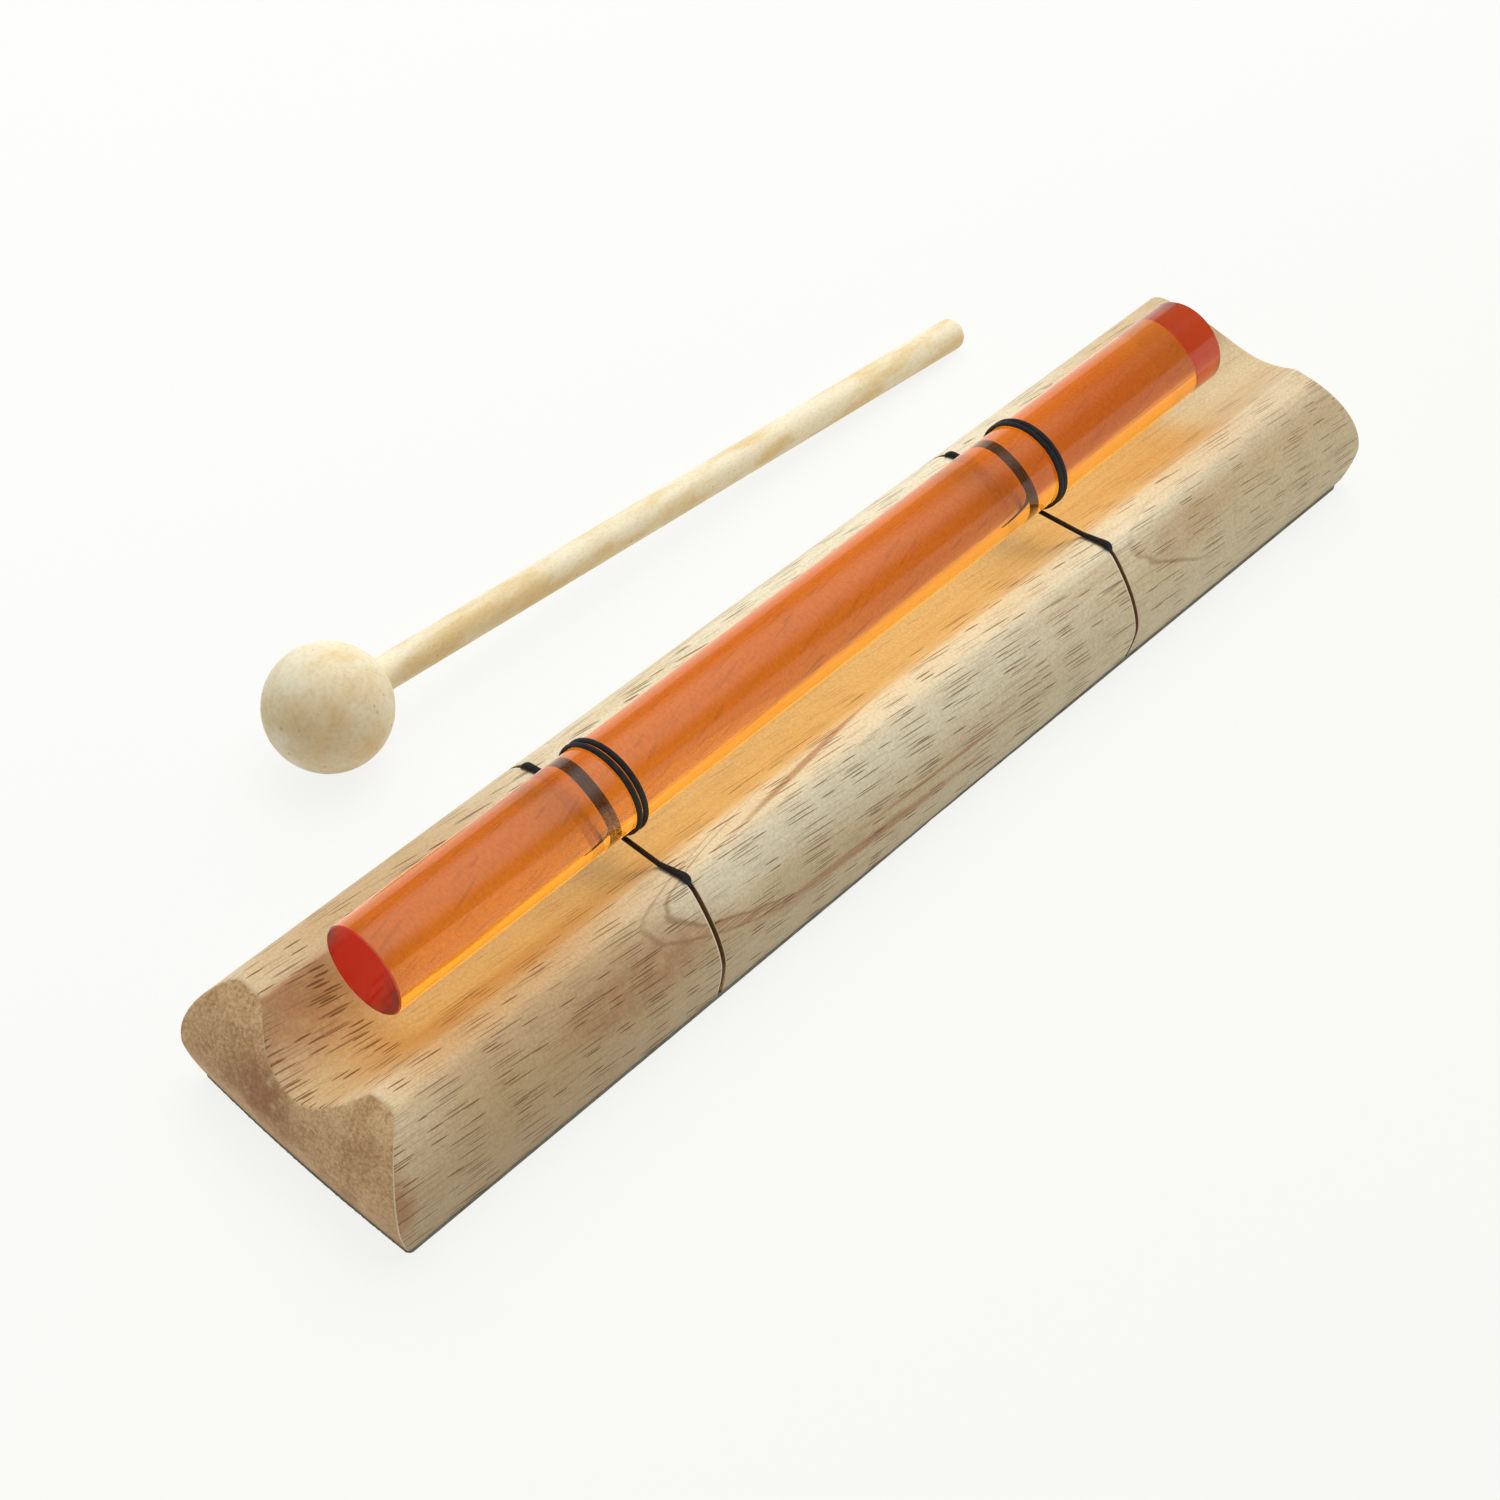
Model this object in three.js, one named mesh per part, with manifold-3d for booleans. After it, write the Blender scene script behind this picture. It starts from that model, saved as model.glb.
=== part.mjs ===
// Chime bar with its mallet: a solid see-through rod hangs on two elastic cords
// across the groove of a wooden base, and a wooden mallet lies beside it.
// Millimetres, +Z up. The origin is on the table, under the middle of the base.
// +X runs along the rod and +Y points to the mallet.

import * as THREE from 'three';
import { mergeVertices } from 'three/addons/utils/BufferGeometryUtils.js';
import Module from 'manifold-3d';

// Base: a block with rounded flanks and ends, and a groove along its top
const BASE_LENGTH = 302.5;
const BASE_WIDTH = 64.6;
const BASE_HEIGHT = 29.3;
const WAIST_HEIGHT = 11;
const NEAR_END_CROWN = 0.8;
const FAR_END_CROWN = 3;
const END_FOOT_INSET = 2.3;
const NEAR_CREST_INSET = 10.2;
const FAR_CREST_INSET = 8.3;
const FLANK_FOOT_INSET = 2.3;
const BASE_CORNER_RADIUS = 2.5;
const END_SKEW = 1.7;
const GROOVE_WIDTH = 31;
const GROOVE_DEPTH = 8.8;
const GROOVE_OFFSET = -0.7;
const GROOVE_LIP = 1;
const CREST_WIDTH = 7.6;
const CREST_ROUNDING = 2;

// Felt strip under the base, cut short at the far end
const PAD_THICKNESS = 1.2;
const PAD_SIDE_INSET = 0.4;
const PAD_NEAR_INSET = 0.5;
const PAD_FAR_INSET = 5.4;

// Rod: it lies a little off the middle and off the base's line
const ROD_LENGTH = 249.6;
const ROD_DIAMETER = 20.1;
const ROD_RISE = 1.35;
const ROD_EDGE_CHAMFER = 0.4;
const ROD_X = -4.1;
const ROD_Y = -0.8;
const ROD_HEADING = 0.52;

// Elastic cords, and the saw cuts that hold them round the base
const NEAR_KERF_X = -64.9;
const FAR_KERF_X = 65.7;
const NEAR_WRAP_SHIFT = -0.5;
const FAR_WRAP_SHIFT = -1.7;
const WRAP_TURNS = 2;
const CORD_DIAMETER = 1.3;
const CORD_SPACING = 0.45;
const CORD_SEAT_GAP = 0.3;
const CORD_JOINT_GAP = 0.3;
const KERF_CLEARANCE = 0.1;
const KERF_SEAT_INSET = 1;
const KERF_FOOT_INSET = 4;
const KERF_CORNER_RADIUS = 1.2;

// Knots, each in a drilled pocket in the base's underside
const KNOT_RADIUS = 1.7;
const KNOT_CORD_RADIUS = 0.52;
const KNOT_REST_GAP = 0.3;
const KNOT_TOP_GAP = 0.5;
const POCKET_CLEARANCE = 0.7;

// Mallet
const HEAD_DIAMETER = 28.4;
const HEAD_X = -71.6;
const HEAD_Y = 77.2;
const HANDLE_DIAMETER = 7.8;
const HANDLE_REACH = 197.2;
const HANDLE_TIP_ROUNDING = 2.6;
const HANDLE_HEADING = -1.85;
const SOCKET_DEPTH = 17;
const SOCKET_CLEARANCE = 0.3;

// How far a cutting body runs past what it cuts
const OVERRUN = 5;

// Shapes of the curves: a power of about 2 is a plain round
const RIGHT_FLANK_POWER = 1.8;
const LEFT_FLANK_POWER = 2.4;
const END_POWER = 2;
const FOOT_POWER = 1.5;
const GROOVE_POWER = 1.9;

// Shares of a trefoil knot's radius that its middle line reaches out and up
const KNOT_REACH_SHARE = 1.5;
const KNOT_LIFT_SHARE = 0.5;

// Shares of the flank's height at which its outline has points
const FLANK_SHARES = [0, 0.14, 0.28, 0.42, 0.55, 0.67, 0.78, 0.88];
const FOOT_SHARES = [1, 0.75, 0.5, 0.25];

const COLOURS = {
  wood: new THREE.Color(0.78, 0.68, 0.5),
  felt: new THREE.Color(0.36, 0.32, 0.28),
  rod: new THREE.Color(0.9, 0.3, 0.08),
  cord: new THREE.Color(0.03, 0.03, 0.035),
  birch: new THREE.Color(0.86, 0.78, 0.62),
};

const wasm = await Module();
wasm.setup();

const up = new THREE.Vector3(0, 0, 1);

// The crests run from the groove's edges to the tops of the flanks
const crestHalf = GROOVE_WIDTH / 2 + CREST_WIDTH;
const flankCrestInset = BASE_WIDTH / 2 - crestHalf;
const baseFootWidth = BASE_WIDTH - FLANK_FOOT_INSET * 2;
const rodAxisHeight = BASE_HEIGHT + ROD_RISE + ROD_DIAMETER / 2;

// Centre distance of two turns that lie beside each other
const turnPitch = CORD_DIAMETER + CORD_SPACING;
const seatOffset = CORD_SEAT_GAP + CORD_DIAMETER / 2;
const wrapRadius = ROD_DIAMETER / 2 + seatOffset;

const knotReach = KNOT_RADIUS * KNOT_REACH_SHARE + KNOT_CORD_RADIUS;
const knotHeight = KNOT_RADIUS * KNOT_LIFT_SHARE + KNOT_CORD_RADIUS;

// The saw cut is as deep below as the pocket of the knot
const kerfWidth = CORD_DIAMETER + KERF_CLEARANCE * 2;
const kerfDepth = KNOT_REST_GAP + knotHeight * 2 + KNOT_TOP_GAP;

function toSolid(geometry) {
  const bare = geometry.index ? geometry.toNonIndexed() : geometry.clone();
  bare.deleteAttribute('normal');
  bare.deleteAttribute('uv');
  const merged = mergeVertices(bare);
  const mesh = new wasm.Mesh({
    numProp: 3,
    vertProperties: new Float32Array(merged.attributes.position.array),
    triVerts: new Uint32Array(merged.index.array),
  });
  return new wasm.Manifold(mesh);
}

function toGeometry(solid) {
  const mesh = solid.getMesh();
  const geometry = new THREE.BufferGeometry();
  geometry.setAttribute('position', new THREE.BufferAttribute(mesh.vertProperties, 3));
  geometry.setIndex(new THREE.BufferAttribute(mesh.triVerts, 1));
  return geometry;
}

function makeMesh(name, geometry, colour, roughness) {
  const material = new THREE.MeshStandardMaterial({ color: colour, roughness, metalness: 0 });
  const mesh = new THREE.Mesh(geometry, material);
  mesh.name = name;
  return mesh;
}

function extrude(shape, depth, curveSegments, steps) {
  return new THREE.ExtrudeGeometry(shape, { depth, bevelEnabled: false, curveSegments, steps });
}

// A plate with rounded corners, standing on z = 0 between two ends, where the middle
// of each end may stand out by a crown
function roundedPlate(nearX, farX, width, height, nearCrown, farCrown) {
  const radius = BASE_CORNER_RADIUS;
  const y = width / 2 - radius;
  const quarter = Math.PI / 2;
  const shape = new THREE.Shape();
  shape.absarc(farX - radius, y, radius, 0, quarter);
  shape.absarc(nearX + radius, y, radius, quarter, quarter * 2);
  shape.quadraticCurveTo(nearX - nearCrown * 2, 0, nearX, -y);
  shape.absarc(nearX + radius, -y, radius, quarter * 2, quarter * 3);
  shape.absarc(farX - radius, -y, radius, quarter * 3, quarter * 4);
  shape.quadraticCurveTo(farX + farCrown * 2, 0, farX, y);
  return extrude(shape, height, 6, 1);
}

// How far a flank or an end stands out at a height: widest at the waist
function bulge(height, reach, footInset, crestInset, power) {
  if (height < WAIST_HEIGHT) {
    const below = (WAIST_HEIGHT - height) / (WAIST_HEIGHT - PAD_THICKNESS);
    return reach - footInset * below ** FOOT_POWER;
  }
  const above = (height - WAIST_HEIGHT) / (BASE_HEIGHT - WAIST_HEIGHT);
  return reach - crestInset * above ** power;
}

function flankHeights() {
  const lower = FOOT_SHARES.map((share) => WAIST_HEIGHT + (PAD_THICKNESS - WAIST_HEIGHT) * share);
  const upper = FLANK_SHARES.map((share) => WAIST_HEIGHT + (BASE_HEIGHT - WAIST_HEIGHT) * share);
  return lower.concat(upper);
}

function grooveHeight(y) {
  const share = Math.abs(y) / (GROOVE_WIDTH / 2);
  return BASE_HEIGHT - GROOVE_DEPTH * (1 - share ** GROOVE_POWER);
}

// Cross-section of the base: first coordinate across, second up
function baseSection() {
  const flank = (power) => flankHeights().map((z) => [
    bulge(z, BASE_WIDTH / 2, FLANK_FOOT_INSET, flankCrestInset, power),
    z,
  ]);
  const left = GROOVE_OFFSET + GROOVE_WIDTH / 2;
  const right = GROOVE_OFFSET - GROOVE_WIDTH / 2;
  const inner = GROOVE_WIDTH / 2 - GROOVE_LIP;
  const [foot, ...leftFlank] = flank(LEFT_FLANK_POWER);
  const [[topY, topZ], ...rightFlank] = flank(RIGHT_FLANK_POWER).reverse();
  const shape = new THREE.Shape();
  shape.moveTo(...foot);
  leftFlank.forEach(([y, z]) => shape.lineTo(y, z));
  shape.quadraticCurveTo(crestHalf, BASE_HEIGHT, crestHalf - CREST_ROUNDING, BASE_HEIGHT);
  shape.lineTo(left + GROOVE_LIP, BASE_HEIGHT);
  shape.quadraticCurveTo(left, BASE_HEIGHT, left - GROOVE_LIP, grooveHeight(inner));
  const steps = 14;
  for (let i = 1; i < steps; i += 1) {
    const y = inner * (1 - (2 * i) / steps);
    shape.lineTo(GROOVE_OFFSET + y, grooveHeight(y));
  }
  shape.lineTo(right + GROOVE_LIP, grooveHeight(inner));
  shape.quadraticCurveTo(right, BASE_HEIGHT, right - GROOVE_LIP, BASE_HEIGHT);
  shape.lineTo(CREST_ROUNDING - crestHalf, BASE_HEIGHT);
  shape.quadraticCurveTo(-crestHalf, BASE_HEIGHT, -topY, topZ);
  rightFlank.forEach(([y, z]) => shape.lineTo(-y, z));
  return shape;
}

// Where the ends stand at their corners, where no crown adds to them
const nearEndX = NEAR_END_CROWN - BASE_LENGTH / 2;
const farEndX = BASE_LENGTH / 2 - FAR_END_CROWN;

// Side view of the base: first coordinate along, second up
function baseSideView() {
  const heights = flankHeights().concat([BASE_HEIGHT]);
  const end = (reach, crestInset) => heights.map((z) => [
    bulge(z, reach, END_FOOT_INSET, crestInset, END_POWER),
    z,
  ]);
  const near = end(-nearEndX, NEAR_CREST_INSET).map(([x, z]) => new THREE.Vector2(-x, z));
  const far = end(farEndX, FAR_CREST_INSET).map(([x, z]) => new THREE.Vector2(x, z));
  return new THREE.Shape(far.concat(near.reverse()));
}

// Sets both ends out of square by the same angle, as a saw set askew cuts them
function skewed(geometry) {
  const slope = Math.tan(THREE.MathUtils.degToRad(END_SKEW));
  return geometry.applyMatrix4(new THREE.Matrix4().makeShear(0, 0, slope, 0, 0, 0));
}

// Makes the middle of each end stand out from its corners
function crowned(geometry) {
  const places = geometry.attributes.position;
  for (let i = 0; i < places.count; i += 1) {
    const share = Math.min(1, Math.abs(places.getY(i)) / (BASE_WIDTH / 2));
    const crown = places.getX(i) > 0 ? FAR_END_CROWN : -NEAR_END_CROWN;
    places.setX(i, places.getX(i) + crown * (1 - share * share));
  }
  return geometry;
}

// Lays a section drawn in the plane of Y and Z along X, centred on x = 0
function alongX(shape, length) {
  const geometry = extrude(shape, length, 6, 1);
  geometry.translate(0, 0, -length / 2);
  geometry.rotateX(Math.PI / 2);
  geometry.rotateZ(Math.PI / 2);
  return geometry;
}

// Lays an outline drawn in the plane of X and Z along Y, centred on y = 0
function alongY(shape, length) {
  const geometry = extrude(shape, length, 6, 12);
  geometry.translate(0, 0, -length / 2);
  geometry.rotateX(Math.PI / 2);
  return geometry;
}

// The wood left inside a saw cut, as corners of its right half from the crest down
const kerfSeat = new THREE.Vector2(KERF_SEAT_INSET - crestHalf, BASE_HEIGHT);
const kerfFoot = new THREE.Vector2(KERF_FOOT_INSET - baseFootWidth / 2, PAD_THICKNESS + kerfDepth);

// Stations round the right half of the wood inside a saw cut, from the crest to
// the middle of the underside: a point on the wood and its outward normal
function kerfStations() {
  const radius = KERF_CORNER_RADIUS;
  const flank = kerfFoot.clone().sub(kerfSeat).normalize();
  const flankAngle = Math.atan2(-flank.x, flank.y) + 2 * Math.PI * (flank.x > 0);
  const topAngle = Math.PI / 2;
  const footAngle = Math.PI * 1.5;
  const stations = [];
  const put = (y, z, angle) => {
    stations.push({ y, z, normal: [Math.cos(angle), Math.sin(angle)] });
  };
  const corner = (centre, from, to) => {
    const steps = 6;
    for (let i = 0; i <= steps; i += 1) {
      const angle = from + ((to - from) * i) / steps;
      put(centre.x + radius * Math.cos(angle), centre.y + radius * Math.sin(angle), angle);
    }
  };
  const inset = radius * Math.tan((flankAngle - topAngle) / 2);
  const footInset = radius * Math.tan((footAngle - flankAngle) / 2);
  const seatCentre = new THREE.Vector2(kerfSeat.x + inset, kerfSeat.y - radius);
  const footCentre = new THREE.Vector2(kerfFoot.x + footInset, kerfFoot.y + radius);
  const grooveEdge = -GROOVE_WIDTH / 2 - Math.abs(GROOVE_OFFSET);
  put(grooveEdge, kerfSeat.y, topAngle);
  put((grooveEdge + seatCentre.x) / 2, kerfSeat.y, topAngle);
  corner(seatCentre, topAngle, flankAngle);
  corner(footCentre, flankAngle, footAngle);
  put(footCentre.x / 2, kerfFoot.y, footAngle);
  return stations;
}

// A ring-shaped saw cut round the flanks and the underside
function sawCut(x) {
  const wide = BASE_WIDTH + OVERRUN;
  const slab = new THREE.BoxGeometry(kerfWidth, wide, BASE_HEIGHT * 2);
  const right = kerfStations().map((station) => new THREE.Vector2(station.y, station.z));
  const left = right.slice().reverse().map((point) => new THREE.Vector2(-point.x, point.y));
  const high = [-right[0].x, right[0].x].map((y) => new THREE.Vector2(y, BASE_HEIGHT * 2));
  const core = new THREE.Shape(right.concat(left, high));
  return toSolid(slab).subtract(toSolid(alongX(core, kerfWidth * 2))).translate([x, 0, 0]);
}

function knotPocket(x) {
  const height = kerfDepth + OVERRUN;
  const radius = knotReach + POCKET_CLEARANCE;
  const drill = new THREE.CylinderGeometry(radius, radius, height, 32);
  drill.rotateX(Math.PI / 2);
  drill.translate(x, 0, PAD_THICKNESS + kerfDepth - height / 2);
  return toSolid(drill);
}

function baseBlock() {
  const height = BASE_HEIGHT * 2;
  const plate = roundedPlate(nearEndX, farEndX, BASE_WIDTH, height, NEAR_END_CROWN, FAR_END_CROWN);
  const block = toSolid(alongX(baseSection(), BASE_LENGTH + OVERRUN))
    .intersect(toSolid(skewed(crowned(alongY(baseSideView(), BASE_WIDTH)))))
    .intersect(toSolid(skewed(plate)));
  const cut = [NEAR_KERF_X, FAR_KERF_X].reduce(
    (wood, x) => wood.subtract(sawCut(x)).subtract(knotPocket(x)),
    block,
  );
  return makeMesh('base_block', toGeometry(cut), COLOURS.wood, 0.6);
}

function basePad() {
  const near = nearEndX + END_FOOT_INSET + PAD_NEAR_INSET;
  const far = farEndX - END_FOOT_INSET - PAD_FAR_INSET;
  const width = baseFootWidth - PAD_SIDE_INSET * 2;
  const plate = skewed(roundedPlate(near, far, width, PAD_THICKNESS, 0, 0));
  return makeMesh('base_pad', plate, COLOURS.felt, 0.95);
}

// Lathes an outline of [radius, length] pairs about X
function turnedAboutX(outline, segments) {
  const geometry = new THREE.LatheGeometry(
    outline.map(([radius, length]) => new THREE.Vector2(radius, length)),
    segments,
  );
  geometry.rotateZ(-Math.PI / 2);
  return geometry;
}

function chimeRod() {
  const radius = ROD_DIAMETER / 2;
  const half = ROD_LENGTH / 2;
  const outline = [
    [0, -half],
    [radius - ROD_EDGE_CHAMFER, -half],
    [radius, ROD_EDGE_CHAMFER - half],
    [radius, half - ROD_EDGE_CHAMFER],
    [radius - ROD_EDGE_CHAMFER, half],
    [0, half],
  ];
  return makeMesh('chime_rod', turnedAboutX(outline, 64), COLOURS.rod, 0.06);
}

// A round cord along a list of points
function cordAlong(points, steps, sides) {
  const section = new THREE.Shape();
  for (let i = 0; i < sides; i += 1) {
    const angle = (i * 2 * Math.PI) / sides;
    const corner = [(CORD_DIAMETER / 2) * Math.cos(angle), (CORD_DIAMETER / 2) * Math.sin(angle)];
    if (i === 0) {
      section.moveTo(...corner);
    } else {
      section.lineTo(...corner);
    }
  }
  section.closePath();
  const extrudePath = new THREE.CatmullRomCurve3(points, false, 'centripetal');
  return new THREE.ExtrudeGeometry(section, { steps, extrudePath, curveSegments: 1 });
}

function mirrored(points) {
  return points.map((point) => new THREE.Vector3(point.x, -point.y, point.z)).reverse();
}

function cordMesh(name, points, steps, sides) {
  return makeMesh(name, cordAlong(points, steps, sides), COLOURS.cord, 0.9);
}

// The cord in a saw cut, from each crest's inner edge round to the knot
function cordRuns(label, x) {
  const points = kerfStations().map(({ y, z, normal }) => new THREE.Vector3(
    x,
    y + normal[0] * seatOffset,
    z + normal[1] * seatOffset,
  ));
  const last = points[points.length - 1];
  points.push(new THREE.Vector3(x, -knotReach - CORD_JOINT_GAP, last.z));
  return [
    cordMesh(`${label}_cord_run_right`, points, 40, 8),
    cordMesh(`${label}_cord_run_left`, mirrored(points), 40, 8),
  ];
}

function cordKnot(name, x) {
  const geometry = new THREE.TorusKnotGeometry(KNOT_RADIUS, KNOT_CORD_RADIUS, 48, 6, 2, 3);
  const knot = makeMesh(name, geometry, COLOURS.cord, 0.9);
  knot.position.set(x, 0, PAD_THICKNESS + KNOT_REST_GAP + knotHeight);
  return knot;
}

// The cord's turns round the rod, which lies along X here: it comes in under the rod
// from the right and leaves to the left, further along
function wrapPoints(x) {
  const start = x - (WRAP_TURNS * turnPitch) / 2;
  const steps = 24 * WRAP_TURNS;
  const points = [new THREE.Vector3(start, -CORD_DIAMETER, -wrapRadius)];
  for (let i = 0; i <= steps; i += 1) {
    const turn = (WRAP_TURNS * i) / steps;
    const angle = turn * 2 * Math.PI;
    points.push(new THREE.Vector3(
      start + turnPitch * turn,
      wrapRadius * Math.sin(angle),
      -wrapRadius * Math.cos(angle),
    ));
  }
  points.push(new THREE.Vector3(start + turnPitch * WRAP_TURNS, CORD_DIAMETER, -wrapRadius));
  return points;
}

// Where the rod lies on the base
const rodCentre = new THREE.Vector3(ROD_X, ROD_Y, rodAxisHeight);
const rodHeading = THREE.MathUtils.degToRad(ROD_HEADING);

// The cord between a crest and the rod; hand is -1 on the right and 1 on the left
function spanPoints(kerfX, wrapX, hand) {
  const crest = kerfStations()[0];
  const crestY = Math.abs(crest.y) - CORD_JOINT_GAP;
  const atCrest = new THREE.Vector3(kerfX, hand * crestY, crest.z + seatOffset);
  const atRod = new THREE.Vector3(
    wrapX + (hand * WRAP_TURNS * turnPitch) / 2,
    hand * (CORD_DIAMETER + CORD_JOINT_GAP),
    -wrapRadius,
  );
  atRod.applyAxisAngle(up, rodHeading).add(rodCentre);
  return [atCrest, atCrest.clone().lerp(atRod, 0.5), atRod];
}

// Least gap between one turn of a wrap and the next, measured on points
function leastWrapGap() {
  const points = wrapPoints(0);
  let least = Infinity;
  points.forEach((point, i) => {
    points.slice(i + 12).forEach((other) => {
      least = Math.min(least, point.distanceTo(other) - CORD_DIAMETER);
    });
  });
  return least;
}

// One tied cord: what lies on the base, and what lies round the rod
function elasticCord(label, kerfX, wrapShift) {
  const wrapX = kerfX + wrapShift - ROD_X;
  return {
    onBase: [
      ...cordRuns(label, kerfX),
      cordKnot(`${label}_cord_knot`, kerfX),
      cordMesh(`${label}_cord_span_right`, spanPoints(kerfX, wrapX, -1), 4, 8),
      cordMesh(`${label}_cord_span_left`, spanPoints(kerfX, wrapX, 1), 4, 8),
    ],
    onRod: cordMesh(`${label}_cord_wrap`, wrapPoints(wrapX), 24 * WRAP_TURNS + 4, 6),
  };
}

// Ball with a blind hole for the handle, centred on the origin, handle along +X
function malletHead() {
  const radius = HEAD_DIAMETER / 2;
  const rings = 20;
  const outline = [];
  for (let i = 0; i <= rings; i += 1) {
    const angle = (i * Math.PI) / rings;
    outline.push([i % rings === 0 ? 0 : radius * Math.sin(angle), -radius * Math.cos(angle)]);
  }
  const ball = turnedAboutX(outline, 36);
  const holeRadius = HANDLE_DIAMETER / 2 + SOCKET_CLEARANCE;
  const hole = new THREE.CylinderGeometry(holeRadius, holeRadius, SOCKET_DEPTH + OVERRUN, 40);
  hole.rotateZ(Math.PI / 2);
  hole.translate(radius - SOCKET_DEPTH + (SOCKET_DEPTH + OVERRUN) / 2, 0, 0);
  const head = toSolid(ball).subtract(toSolid(hole));
  return makeMesh('mallet_head', toGeometry(head), COLOURS.birch, 0.5);
}

function malletHandle() {
  const radius = HANDLE_DIAMETER / 2;
  const seat = HEAD_DIAMETER / 2 - SOCKET_DEPTH + SOCKET_CLEARANCE;
  const outline = [[0, seat], [radius, seat]];
  const steps = 5;
  for (let i = 0; i <= steps; i += 1) {
    const angle = (i * Math.PI) / 2 / steps;
    outline.push([
      radius - HANDLE_TIP_ROUNDING * (1 - Math.cos(angle)),
      HANDLE_REACH - HANDLE_TIP_ROUNDING * (1 - Math.sin(angle)),
    ]);
  }
  outline.push([0, HANDLE_REACH]);
  return makeMesh('mallet_handle', turnedAboutX(outline, 32), COLOURS.birch, 0.6);
}

// The mallet lies on its ball and on the far end of its handle
function mallet() {
  const drop = (HEAD_DIAMETER - HANDLE_DIAMETER) / 2;
  const tilt = Math.asin(drop / (HANDLE_REACH - HANDLE_TIP_ROUNDING));
  const group = new THREE.Group();
  group.add(malletHead(), malletHandle());
  group.position.set(HEAD_X, HEAD_Y, HEAD_DIAMETER / 2);
  group.rotateOnAxis(up, THREE.MathUtils.degToRad(HANDLE_HEADING));
  group.rotateY(tilt);
  return group;
}

const nearCord = elasticCord('near', NEAR_KERF_X, NEAR_WRAP_SHIFT);
const farCord = elasticCord('far', FAR_KERF_X, FAR_WRAP_SHIFT);

// The rod with the cords round it
function hungRod() {
  const group = new THREE.Group();
  group.add(chimeRod(), nearCord.onRod, farCord.onRod);
  group.position.copy(rodCentre);
  group.rotation.z = rodHeading;
  return group;
}

const chimeBar = new THREE.Group();
chimeBar.add(baseBlock(), basePad(), hungRod());
chimeBar.add(...nearCord.onBase, ...farCord.onBase);
chimeBar.add(mallet());

console.log(`least gap between cord wraps ${leastWrapGap().toFixed(3)} mm`);

export default chimeBar;
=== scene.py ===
"""Chime bar: a see-through rod hung on elastic cords over a grooved wooden base, with a mallet."""
import math

import bmesh
import bpy
from bpy.props import FloatProperty, FloatVectorProperty, PointerProperty
from mathutils import Matrix, Vector, noise
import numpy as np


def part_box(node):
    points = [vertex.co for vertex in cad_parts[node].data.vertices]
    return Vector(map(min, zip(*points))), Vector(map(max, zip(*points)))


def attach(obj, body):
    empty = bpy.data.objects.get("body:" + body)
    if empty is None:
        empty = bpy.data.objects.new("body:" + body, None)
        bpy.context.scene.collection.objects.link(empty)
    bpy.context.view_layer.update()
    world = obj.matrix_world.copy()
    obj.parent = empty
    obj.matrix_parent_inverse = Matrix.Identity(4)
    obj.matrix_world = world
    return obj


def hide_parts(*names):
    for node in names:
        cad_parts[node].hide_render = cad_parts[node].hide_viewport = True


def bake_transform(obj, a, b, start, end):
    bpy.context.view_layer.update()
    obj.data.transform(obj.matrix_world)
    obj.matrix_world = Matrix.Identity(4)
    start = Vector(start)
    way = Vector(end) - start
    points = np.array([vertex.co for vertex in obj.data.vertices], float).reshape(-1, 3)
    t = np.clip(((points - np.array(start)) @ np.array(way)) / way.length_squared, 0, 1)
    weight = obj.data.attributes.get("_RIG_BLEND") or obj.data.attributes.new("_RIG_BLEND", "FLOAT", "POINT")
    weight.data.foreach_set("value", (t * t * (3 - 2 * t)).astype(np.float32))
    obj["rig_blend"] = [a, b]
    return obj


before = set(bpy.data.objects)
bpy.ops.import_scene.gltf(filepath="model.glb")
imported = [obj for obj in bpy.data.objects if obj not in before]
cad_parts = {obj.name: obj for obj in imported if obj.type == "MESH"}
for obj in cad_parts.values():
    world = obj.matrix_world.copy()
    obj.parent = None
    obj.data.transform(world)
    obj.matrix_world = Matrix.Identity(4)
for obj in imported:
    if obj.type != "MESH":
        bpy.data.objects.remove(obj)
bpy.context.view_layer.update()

bl_info = {
    "name": "Chime Bar",
    "version": (1, 0, 0),
    "blender": (4, 5, 0),
    "location": "3D View > Sidebar > Chime Bar",
    "description": "Builds a chime bar and its mallet with fine meshes and finishes",
    "category": "Object",
}

MM = 0.001
TOUCH_GAP = 0.02 * MM
PICTURE_SIDE = 1500
PICTURE_SHIFT = 2.7
SENSOR_WIDTH = 36


def size(name, description, millimetres):
    """A length that a user may change, written here in millimetres."""
    return FloatProperty(name=name, description=description, default=millimetres * MM,
                         subtype="DISTANCE", unit="LENGTH", precision=5)


def spot(name, description, *millimetres):
    """A place that a user may change, written here in millimetres."""
    return FloatVectorProperty(name=name, description=description, size=3, unit="LENGTH",
                               subtype="TRANSLATION", default=[c * MM for c in millimetres])


def level(name, description, value):
    """A share or a strength that a user may change."""
    return FloatProperty(name=name, description=description, default=value, min=0,
                         subtype="FACTOR")


def turn(name, description, degrees):
    """An angle that a user may change, written here in degrees."""
    return FloatProperty(name=name, description=description, default=math.radians(degrees),
                         subtype="ANGLE", unit="ROTATION")


def linear(red, green, blue):
    """A colour as a screen shows it, from 0 to 255, as the light it stands for."""
    return tuple(((channel / 255 + 0.055) / 1.055) ** 2.4 for channel in (red, green, blue))


def tone(name, description, red, green, blue):
    """A colour that a user may change, written here as a screen shows it."""
    return FloatVectorProperty(name=name, description=description, subtype="COLOR",
                               size=3, min=0, max=1, default=linear(red, green, blue))


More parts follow.
